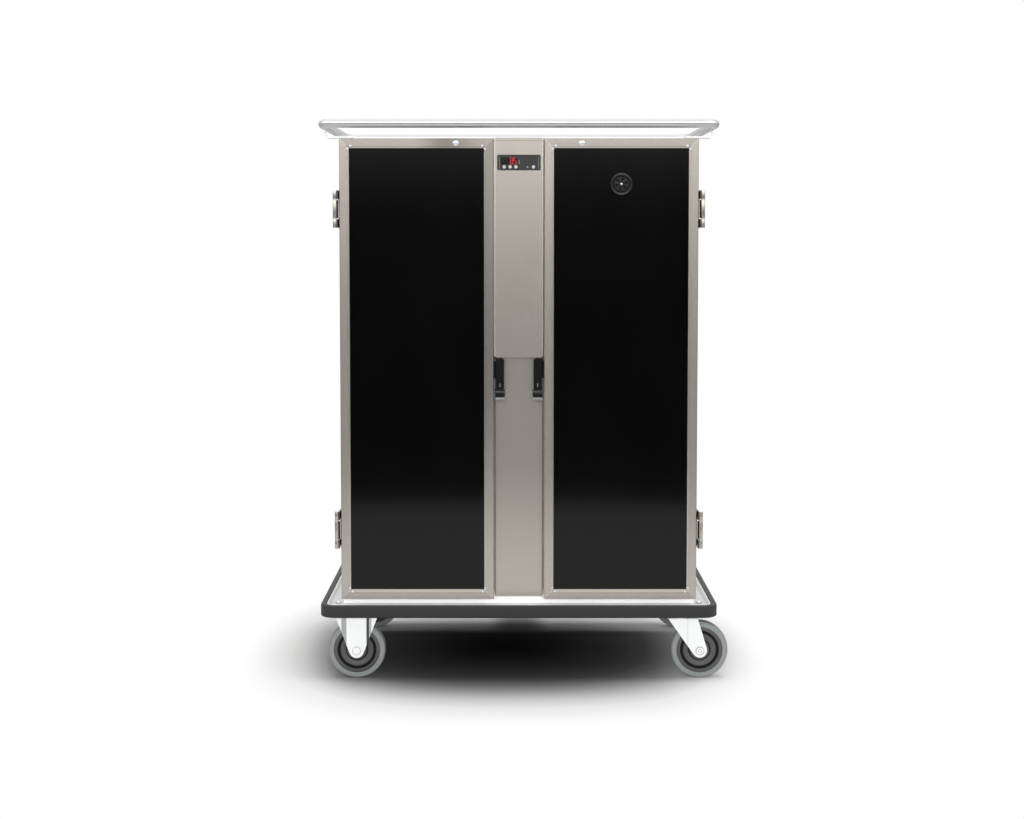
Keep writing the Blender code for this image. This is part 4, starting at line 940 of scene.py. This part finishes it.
class CART_OT_hinges(bpy.types.Operator):
    """Finish the hinges: straps, smooth barrels and their screws"""

    bl_idname = "cart.hinges"
    bl_label = "Hinges"

    def execute(self, context):
        sizes = context.scene.cart_sizes
        for side, word in SIDES:
            barrels, knuckles, washers, strap_spots, leaf_spots = [], [], [], [], []
            for place in ("upper", "lower"):
                node = "hinge_" + place + "_" + word
                refined(node, "hinge_metal", sizes.cast_edge)
                low, high = corners(node)
                pin_x = high.x - 0.0053 if side > 0 else low.x + 0.0053
                pin = (pin_x, FACE_Y, middle(node).z)
                half = (high.z - low.z) / 2
                for near, far, store in (
                    (-half, -BARREL_FROM, barrels), (BARREL_FROM, half, barrels),
                    (-KNUCKLE_END, KNUCKLE_END, knuckles),
                ):
                    profile = [(near, HINGE_BORE), (near, HINGE_BARREL)]
                    profile += [(far, HINGE_BARREL), (far, HINGE_BORE)]
                    store.append(smooth(lathe(eased(profile, 0.0007, 3), "Z", pin, 32, closed=True)))
                for near, far in ((-WASHER_TO, -WASHER_FROM), (WASHER_FROM, WASHER_TO)):
                    washers.append(band(near, far, HINGE_BORE, HINGE_WASHER, "Z", pin, 32))
                out = CENTRE_X + side * (SIDE_X + 0.0033)
                for up in (-0.036, 0, 0.036):
                    strap_spots.append((out, FACE_Y + 0.105, pin[2] + up))
                out = CENTRE_X + side * (SIDE_X + 0.003)
                for up in (-0.015, 0.015):
                    leaf_spots.append((out, FACE_Y + 0.024, pin[2] + up))
            settled(joined(barrels), word + "_hinge_barrels", "hinge_metal", "cart")
            settled(joined(knuckles), word + "_hinge_knuckles", "hinge_metal", word + "_door")
            settled(joined(washers), word + "_hinge_washers", "bright_screw", "cart")
            screws(word + "_strap_screws", strap_spots, "X", side, 0.0042, 0.0016, "cross")
            door = word + "_door"
            screws(word + "_leaf_screws", leaf_spots, "X", side, 0.0034, 0.0010, "cross", body=door)
        return {"FINISHED"}


class CART_OT_column(bpy.types.Operator):
    """Round the folded covers of the centre column"""

    bl_idname = "cart.column"
    bl_label = "Centre column"

    def execute(self, context):
        sizes = context.scene.cart_sizes
        refined("column_upper", "cover_metal", sizes.moulded_edge, 3, 20)
        refined("column_lower", "cover_metal", sizes.moulded_edge, 3, 20)
        left, right = CENTRE_X - 0.0698, CENTRE_X + 0.0676
        foot, top = COLUMN_LOW.z, COLUMN_HIGH.z - 0.0012
        cut = 0.0046
        outline = [(left + cut, foot), (right - cut, foot), (right, foot + cut), (right, top)]
        outline += [(left, top), (left, foot + cut)]
        front = extruded(outline, "Y", FACE_Y - 0.0003, FACE_Y + 0.0015)
        low, high = corners("controller_housing")
        inset = Vector((0.001, 0, 0.001))
        carved(front, block(low + inset, high - inset))
        settled(bevelled(front, 0.0002), "column_front_sheet", "cover_metal", "cart")
        return {"FINISHED"}


# Where each bar of a figure lies, in half widths across and quarter heights up.
BARS = {
    "a": (0, 2), "b": (1, 1), "c": (1, -1), "d": (0, -2), "e": (-1, -1), "f": (-1, 1), "g": (0, 0),
}


def bar_outline(x, z, reach, upright, stroke):
    """One bar of a figure: a long hexagon."""
    half = stroke / 2
    tip = reach - half * 0.35
    ends = [(-tip, 0), (-tip + half, -half), (tip - half, -half)]
    ends += [(-u, -v) for u, v in ends]
    return [(x - v, z + u) if upright else (x + u, z + v) for u, v in ends]


# A button's face from its edge inwards: how far back, and the share of its radius.
BUTTON_DOME = (
    (0.0012, 1), (0.0006, 0.93), (0.0001, 0.78), (0, 0.6), (0.00035, 0.45), (0.0005, 0.2), (0.0005, 0),
)


class CART_OT_controller(bpy.types.Operator):
    """Finish the controller: housing, end caps, window, lit figures, marks and domed buttons"""

    bl_idname = "cart.controller"
    bl_label = "Controller"

    def execute(self, context):
        sizes = context.scene.cart_sizes
        refined("controller_window", "window_pane", 0.0003)
        low, high = corners("controller_housing")
        face = low.y
        centre = middle("controller_housing")
        half = (high - low) / 2
        names = ("button_set", "button_up", "button_down", "button_power")
        outline = plate_outline((centre.x, centre.z), half.x, half.z, 0.0062)
        housing = extruded(outline, "Y", face, high.y)
        pane_low, pane_high = corners("controller_window")
        carved(housing, block(pane_low - Vector((0, 0.002, 0)), pane_high))
        for name in names:
            low, high = corners(name)
            at = middle(name)
            outline = ring_of((at.x, at.z), (high.x - low.x) / 2 + SEAT_GAP, 32)
            carved(housing, extruded(outline, "Y", face - 0.002, high.y + 0.0025))
        bevelled(housing, 0.0004)
        nodes = ("controller_housing",)
        settled(housing, "controller_case", "controller_plastic", "cart", nodes)
        caps = []
        for side in (-1, 1):
            at = (CENTRE_X + side * (half.x - 0.0033), centre.z)
            outline = plate_outline(at, 0.0029, half.z - 0.0006, 0.0026)
            caps.append(bevelled(extruded(outline, "Y", face - 0.0007, face + 0.0005), 0.0003))
        settled(joined(caps), "controller_end_caps", "controller_plastic", "cart")

        tall = sizes.digit_height / 4
        wide = sizes.digit_width / 2
        z = middle("controller_window").z
        bars = []
        for digit_x, lit in ((CENTRE_X - 0.0203, "abcdefg"), (CENTRE_X - 0.0110, "acdfg")):
            for letter in lit:
                across, up = BARS[letter]
                upright = across != 0
                reach = tall if upright else wide
                at = (digit_x + across * wide, z + up * tall)
                outline = bar_outline(*at, reach, upright, sizes.digit_stroke)
                bars.append(extruded(outline, "Y", pane_low.y - 0.0001, pane_low.y + 0.0002))
        settled(joined(bars), "display_figures", "lit_figure", "cart")

        ups = (0.0043, -0.0013)
        outlines = [ring_of((CENTRE_X + 0.0013, centre.z + up), 0.0015, 16) for up in ups]
        oval = ring_of((0, 0), 0.0016, 20)
        outlines.append([(CENTRE_X + 0.024 + u * 1.6, 1.431 + v) for u, v in oval])
        marks = [extruded(outline, "Y", face - 0.0002, face + 0.0003) for outline in outlines]
        for side in (-1, 1):
            outline = plate_outline((CENTRE_X + side * 0.0540, centre.z), 0.0003, 0.0165, 0.0002, 2)
            marks.append(extruded(outline, "Y", face - 0.0009, face + 0.0003))
        settled(joined(marks), "controller_marks", "dull_mark", "cart")

        for name in names:
            low, high = corners(name)
            at = middle(name)
            radius = (high.x - low.x) / 2
            profile = [(high.y - face, 0), (high.y - face, radius)]
            profile += [(low.y - face + back, radius * out) for back, out in BUTTON_DOME]
            cap = lathe(profile, "Y", (at.x, face, at.z), 32)
            settled(smooth(cap, 50), name + "_cap", "button_metal", name, (name,))
        return {"FINISHED"}


class CART_OT_latches(bpy.types.Operator):
    """Finish the latches: levers with their rivets, brackets, catches and buffers"""

    bl_idname = "cart.latches"
    bl_label = "Latches"

    def execute(self, context):
        sizes = context.scene.cart_sizes
        seat = corners("column_lower")[0].y
        for (side, word), level in zip(SIDES, BUFFER_LEVELS):
            refined(word + "_latch_lever", "lever_plastic", sizes.moulded_edge, 3)
            refined(word + "_latch_bracket", "black_plastic", sizes.moulded_edge)
            refined(word + "_latch_catch", "catch_metal", sizes.moulded_edge, 3)
            low, high = corners(word + "_latch_lever")
            x = (low.x + high.x) / 2
            spots = [(x, low.y, high.z - down) for down in (0.0736, 0.0792)]
            kind = {"finish": "dull_mark", "body": word + "_lever"}
            screws(word + "_lever_rivets", spots, "Y", -1, 0.0014, 0.0003, **kind)
            spot = (CENTRE_X + side * 0.0352, seat, level)
            screws(word + "_buffer", [spot], "Y", -1, 0.0040, 0.0060, finish="soft_buffer")
        return {"FINISHED"}


class CART_OT_vent(bpy.types.Operator):
    """Turn the vent's ring and disc, and cut their slots"""

    bl_idname = "cart.vent"
    bl_label = "Vent"

    def execute(self, context):
        at = middle("vent_disc")
        low, high = corners("vent_ring")
        face = low.y
        seat = SKIN_Y - SEAT_GAP
        dish, disc_back = corners("vent_disc")[0].y, corners("vent_disc")[1].y

        def slots(offset, near, far):
            """Six wedges, a twelfth of a turn each, between two depths."""
            wedges = []
            for count in range(6):
                turns = [offset + math.tau / 6 * count + math.tau / 72 * step for step in range(7)]
                rim = [(SLOT_OUTER, turn) for turn in turns]
                rim += [(SLOT_INNER, turn) for turn in reversed(turns)]
                outline = [(at.x + out * math.cos(t), at.z + out * math.sin(t)) for out, t in rim]
                wedges.append(extruded(outline, "Y", near, far))
            return joined(wedges)

        def turned(profile):
            """(depth, radius) points turned about the vent's axis."""
            profile = [(y - face, out) for y, out in profile]
            return lathe(profile, "Y", (at.x, face, at.z), 64, closed=True)

        behind, back = disc_back + SEAT_GAP, disc_back + 0.0033
        profile = [(behind, 0.0026), (behind, 0.0210), (dish + 0.0006, 0.0213), (dish - 0.0002, 0.0222)]
        profile += [(dish - 0.0006, 0.0262), (face + 0.0012, 0.0274), (face, 0.0288)]
        profile += [(face + 0.0004, 0.0303), (face + 0.0024, 0.0312), (seat, 0.0315), (seat, 0.0238)]
        profile += [(high.y, 0.0238), (high.y, 0.0222), (back, 0.0222), (back, 0.0026)]
        ring = carved(turned(profile), slots(math.tau / 12, disc_back, disc_back + 0.006))
        settled(smooth(ring), "vent_bezel", "vent_plastic", "right_door", ("vent_ring",))
        profile = [(dish, 0.0028), (dish, 0.0052), (dish + 0.0003, 0.0058), (dish + 0.0003, 0.0192)]
        profile += [(dish + 0.0008, 0.0203), (disc_back, 0.0203), (disc_back, 0.0028)]
        disc = carved(turned(profile), slots(0, dish - 0.002, disc_back + 0.002))
        settled(smooth(disc), "vent_shutter", "vent_plastic", "vent_disc", ("vent_disc",))
        spots = [(at.x, dish, at.z)]
        screws("vent_screw", spots, "Y", -1, 0.0030, 0.0012, "cross", body="right_door")
        return {"FINISHED"}


class CART_OT_deck(bpy.types.Operator):
    """Round the deck, run the bumper round it and set the caster bolts"""

    bl_idname = "cart.deck"
    bl_label = "Deck and bumper"

    def execute(self, context):
        sizes = context.scene.cart_sizes
        refined("base_deck", "pale_sheet", sizes.cast_edge)
        low, high = corners("bumper")
        under = corners("base_deck")[0].z + 0.008 - SEAT_GAP
        top = high.z - 0.0016
        profile = [(0, low.z), (0, top), (0.017, top), (0.017, under), (0.0235, under), (0.0235, low.z)]
        half = (high - low) / 2
        corner = sizes.bumper_corner
        bumper = swept(eased(profile, 0.0048, 5), (low + high) / 2, half.x, half.y, corner, 14)
        settled(smooth(bumper), "bumper_profile", "bumper_plastic", "cart", ("bumper",))
        spots = []
        for side in (-1, 1):
            for end in (-1, 1):
                for out, along in BOLT_SPOTS:
                    spots.append((CENTRE_X + side * out, end * along, DECK_Z - SEAT_GAP))
        raised = [(x, y, z + 0.0010) for x, y, z in spots]
        screws("deck_bolts", raised, "Z", 1, sizes.deck_bolt, 0.0052, finish="zinc")
        # Painted reflection: dark rings round the bolts' feet stand in for the dark reflection round
        # each domed head.
        washer = sizes.deck_bolt + 0.0028
        screws("deck_bolt_washers", spots, "Z", 1, washer, 0.0014, finish="seal_rubber")
        return {"FINISHED"}


# Half profiles of a wheel: the tyre's foot as inset and height above the rim, its shoulder as
# inset and depth below the tread, the hub as place along the axle and radius.
RIM = 0.0647
TYRE_FOOT = ((0.0012, 0), (0, 0.0016), (0, 0.0044), (0.0005, 0.0052))
TYRE_SHOULDER = ((0.0005, 0.0058), (0, 0.0050), (0.0012, 0.0022), (0.0036, 0.0010), (0.0100, 0.0003))
HUB = (
    (0.0230, 0.0064), (0.0230, 0.0262), (0.0222, 0.0272), (0.0150, 0.0282), (0.0060, 0.0296),
    (0.0060, 0.0304), (0.0162, 0.0312), (0.0170, 0.0322), (0.0170, 0.0452), (0.0162, 0.0461),
    (0.0020, 0.0468), (0.0020, 0.0538), (0.0176, 0.0545), (0.0185, 0.0555), (0.0185, 0.0634),
    (0.0178, 0.0644),
)

# Rings on a fork round the axle's end, as two radii and two places. Only swivel casters have
# the second one.
AXLE_RINGS = ((0.0108, 0.0119, 0.0290, 0.0345), (0.0036, 0.0050, 0.0350, 0.0358))


class CART_OT_casters(bpy.types.Operator):
    """Turn the wheels and finish the forks, plates and axle washers"""

    bl_idname = "cart.casters"
    bl_label = "Casters"

    def execute(self, context):
        sizes = context.scene.cart_sizes
        first = "fixed_caster_front"
        centre = middle(first + "_tyre")
        low, high = corners(first + "_tyre")
        radius = (high.z - low.z) / 2
        half = (high.y - low.y) / 2

        def both(profile, top=()):
            """A profile from one side's foot up, and down again on the other side."""
            return [*profile, *top] + [(-along, out) for along, out in reversed(profile)]

        wall = [(half - inset, RIM + up) for inset, up in TYRE_FOOT]
        wall += [(half - inset, radius - down) for inset, down in TYRE_SHOULDER]
        wall.append((0.0006, radius - 0.0001))
        tyre = smooth(lathe(both(wall, [(0, radius)]), "Y", centre, 96, closed=True), 50)
        hub = smooth(lathe(both(HUB), "Y", centre, 96, closed=True), 40)
        # Painted shade: black rings set into the hub's grooves stand in for the shade deep in them.
        groove_shade_rings = []
        for near, far in ((-0.0150, -0.0110), (0.0110, 0.0150)):
            for inner, outer in ((0.0455, 0.0542), (0.0286, 0.0312)):
                groove_shade_rings.append(band(near, far, inner, outer, "Y", centre, 64))
        groove_shade_rings = smooth(joined(groove_shade_rings))
        washer = [(0.0295, 0.0090), (0.0311, 0.0090), (0.0311, 0.0132), (0.0295, 0.0132)]
        washer = eased(washer, 0.0005, 2)
        pieces = []
        for kind in ("fixed", "swivel"):
            for place in ENDS:
                name = kind + "_caster_" + place
                shift = middle(name + "_tyre") - centre
                copies = [copied(part, shift) for part in (tyre, hub, groove_shade_rings)]
                pieces.append((name, *copies, middle(name + "_tyre")))
        for part in (tyre, hub, groove_shade_rings):
            bpy.data.objects.remove(part)
        for name, tyre, hub, groove_shade_rings, at in pieces:
            wheel = name + "_wheel"
            settled(tyre, name + "_tread", "tyre_rubber", wheel, (name + "_tyre",))
            settled(hub, name + "_rim", "hub_plastic", wheel, (name + "_hub",))
            settled(groove_shade_rings, name + "_seals", "black_plastic", wheel)
            fork_body = body_of(name + "_fork")
            refined(name + "_fork", "fork_zinc", sizes.cast_edge, 2, 12)
            swivel = name.startswith("swivel")
            washers, rings = [], []
            for way in (-1, 1):
                profile = [(way * along, out) for along, out in washer]
                washers.append(lathe(profile, "Y", at, 32, closed=True))
                for inner, outer, near, far in AXLE_RINGS[:2 if swivel else 1]:
                    rings.append(band(way * near, way * far, inner, outer, "Y", at, 40))
            settled(smooth(joined(washers)), name + "_washers", "zinc", fork_body)
            settled(smooth(joined(rings)), name + "_axle_rings", "dull_mark", fork_body)
            if swivel:
                refined(name + "_plate", "zinc", sizes.cast_edge)
        return {"FINISHED"}


# Camera: lens and sensor in millimetres, then where it stands and how far it looks down.
LENS, SENSOR, SHIFT = 63.153, 36, -0.0575
CAMERA_AT = (-0.0361, -5.33, 1.245)
CAMERA_TILT = 3.699

# The floor's painted shadow: its colour outwards from the cart, over a shadow of these half
# extents, and the sky's brightness upwards as metal mirrors it.
SHADOW_X, SHADOW_Y = 0.55, 0.555
SHADOW_STOPS = (
    (0.0, 0.008), (0.08, 0.012), (0.145, 0.019), (0.205, 0.031), (0.273, 0.048), (0.333, 0.069),
    (0.392, 0.105), (0.447, 0.20), (0.50, 0.385), (0.553, 0.63), (0.604, 0.85), (0.66, 1.0),
)
MIRROR_STOPS = (
    (0.0, 0.01), (0.018, 0.012), (0.03, 0.05), (0.05, 0.16), (0.08, 0.50), (0.12, 0.95), (0.34, 1.0),
    (0.50, 0.62), (1.0, 0.55),
)


class CART_OT_stage(bpy.types.Operator):
    """Lay the floor with its painted shadow, light the studio softly and set the camera"""

    bl_idname = "cart.stage"
    bl_label = "Stage"

    def execute(self, context):
        colours = context.scene.cart_colours
        scene = context.scene
        put_down()
        shape = {"vertices": 96, "radius": 3.67, "fill_type": "NGON"}
        bpy.ops.mesh.primitive_circle_add(location=(CENTRE_X, 0, 0), **shape)
        floor = context.object
        bpy.ops.object.transform_apply()
        floor.name = "studio_floor"
        material = bpy.data.materials.new("finish_studio_floor")
        material.use_nodes = True
        net = Net(material.node_tree)
        net.place()
        x, y, _ = net.xyz
        off_x = abs(x - CENTRE_X + 0.045)
        off_x = off_x * (1 / SHADOW_X) + net.most(off_x - 0.42, 0.0) * 0.75
        shadow_lift = net.rise(y, 0.21, 0.275) * 0.45
        beside = abs(x - CENTRE_X)
        shadow_lift = shadow_lift * (0.6 + net.rise(beside, 0.02, 0.11) * 0.4) * net.rise(beside, 0.62, 0.45)
        off_y = abs(y - 0.06) * (1 / SHADOW_Y) + shadow_lift
        away = net.maths("POWER", off_x, 2.5) + net.maths("POWER", off_y, 2.5)
        away = net.maths("POWER", away, 1 / 2.5)
        camera_ray = net.add("LightPath", output="Is Camera Ray")
        # Painted shadow: the floor's colour darkens towards the middle under the cart, over the lamps'
        # own shadow.
        under = net.ramp(away * 0.5, SHADOW_STOPS)
        matt = net.add("BsdfDiffuse", {"Color": net.tinted(colours.floor, under - 1)})
        glossy_ray = net.add("LightPath", output="Is Glossy Ray")
        white = net.add("Emission", {"Color": (1, 1, 1, 1), "Strength": camera_ray + glossy_ray * 0.72})
        factor = net.rise(away, 1.25, 1.70) * (camera_ray + glossy_ray)
        mixed = net.add("MixShader", {0: factor, 1: matt, 2: white})
        net.add("OutputMaterial", {0: mixed})
        floor.data.materials.append(material)

        world = bpy.data.worlds.new("studio")
        scene.world = world
        world.use_nodes = True
        net = Net(world.node_tree)
        heading = net.add("TexCoord", output="Generated")
        up = net.add("SeparateXYZ", {0: heading}, 2)
        ahead = net.add("SeparateXYZ", {0: heading}, 1)
        back = net.rise(ahead, 0.05, 0.5)
        mirrored = net.ramp(up, MIRROR_STOPS) * 2.3 + net.rise(up, -0.14, -0.22) * 0.85
        mirrored = mirrored * (1 - back) + back * (0.55 + net.most(up, 0.0) * 1.1)
        seen = net.add("LightPath", output="Is Camera Ray")
        glossy = net.add("LightPath", output="Is Glossy Ray")
        level = glossy * mirrored + (1 - glossy) * 0.45
        strength = seen + (1 - seen) * level
        background = net.add("Background", {"Color": (1, 1, 1, 1), "Strength": strength})
        net.add("OutputWorld", {0: background})

        for name, spot, lean, wide, deep, energy, gleam in (
            ("overhead_softbox", (CENTRE_X, -0.1, 3.6), 0, 3.4, 3.0, 100, False),
            ("front_fill", (CENTRE_X, -5.6, 1.35), 90, 2.4, 0.9, 200, False),
        ):
            bpy.ops.object.light_add(type="AREA", location=spot, rotation=(math.radians(lean), 0, 0))
            lamp = context.object
            lamp.name = name
            lamp.visible_camera = False
            lamp.data.shape = "RECTANGLE"
            lamp.data.size = wide
            lamp.data.size_y = deep
            lamp.data.energy = energy
            lamp.visible_glossy = gleam

        camera = bpy.data.cameras.new("camera")
        camera.lens = LENS
        camera.sensor_width = SENSOR
        camera.shift_y = SHIFT
        viewer = bpy.data.objects.new("camera", camera)
        scene.collection.objects.link(viewer)
        viewer.location = CAMERA_AT
        viewer.rotation_euler = (math.radians(90 - CAMERA_TILT), 0, 0)
        scene.camera = viewer
        scene.view_settings.view_transform = "Standard"
        return {"FINISHED"}


MAKERS = (
    CART_OT_rail, CART_OT_cabinet, CART_OT_inside, CART_OT_doors, CART_OT_hinges, CART_OT_column,
    CART_OT_controller, CART_OT_latches, CART_OT_vent, CART_OT_deck, CART_OT_casters, CART_OT_stage,
)


class CART_PT_panel(bpy.types.Panel):
    """Lists the cart's makers with its sizes and colours"""

    bl_idname = "CART_PT_panel"
    bl_label = "Food cart"
    bl_space_type = "VIEW_3D"
    bl_region_type = "UI"
    bl_category = "Food cart"

    def draw(self, context):
        for group in (context.scene.cart_sizes, context.scene.cart_colours):
            box = self.layout.box()
            for name in group.bl_rna.properties.keys():
                if name not in ("rna_type", "name"):
                    box.prop(group, name)
        for maker in MAKERS:
            self.layout.operator(maker.bl_idname)


CLASSES = (CartSizes, CartColours, *MAKERS, CART_PT_panel)


def register():
    for each in CLASSES:
        bpy.utils.register_class(each)
    bpy.types.Scene.cart_sizes = bpy.props.PointerProperty(type=CartSizes)
    bpy.types.Scene.cart_colours = bpy.props.PointerProperty(type=CartColours)


def unregister():
    del bpy.types.Scene.cart_colours
    del bpy.types.Scene.cart_sizes
    for each in reversed(CLASSES):
        bpy.utils.unregister_class(each)


def main():
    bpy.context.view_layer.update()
    register()
    bpy.ops.cart.stage()
    bpy.ops.cart.rail()
    bpy.ops.cart.cabinet()
    bpy.ops.cart.inside()
    bpy.ops.cart.doors()
    bpy.ops.cart.hinges()
    bpy.ops.cart.column()
    bpy.ops.cart.controller()
    bpy.ops.cart.latches()
    bpy.ops.cart.vent()
    bpy.ops.cart.deck()
    bpy.ops.cart.casters()


if __name__ == "__main__":
    main()
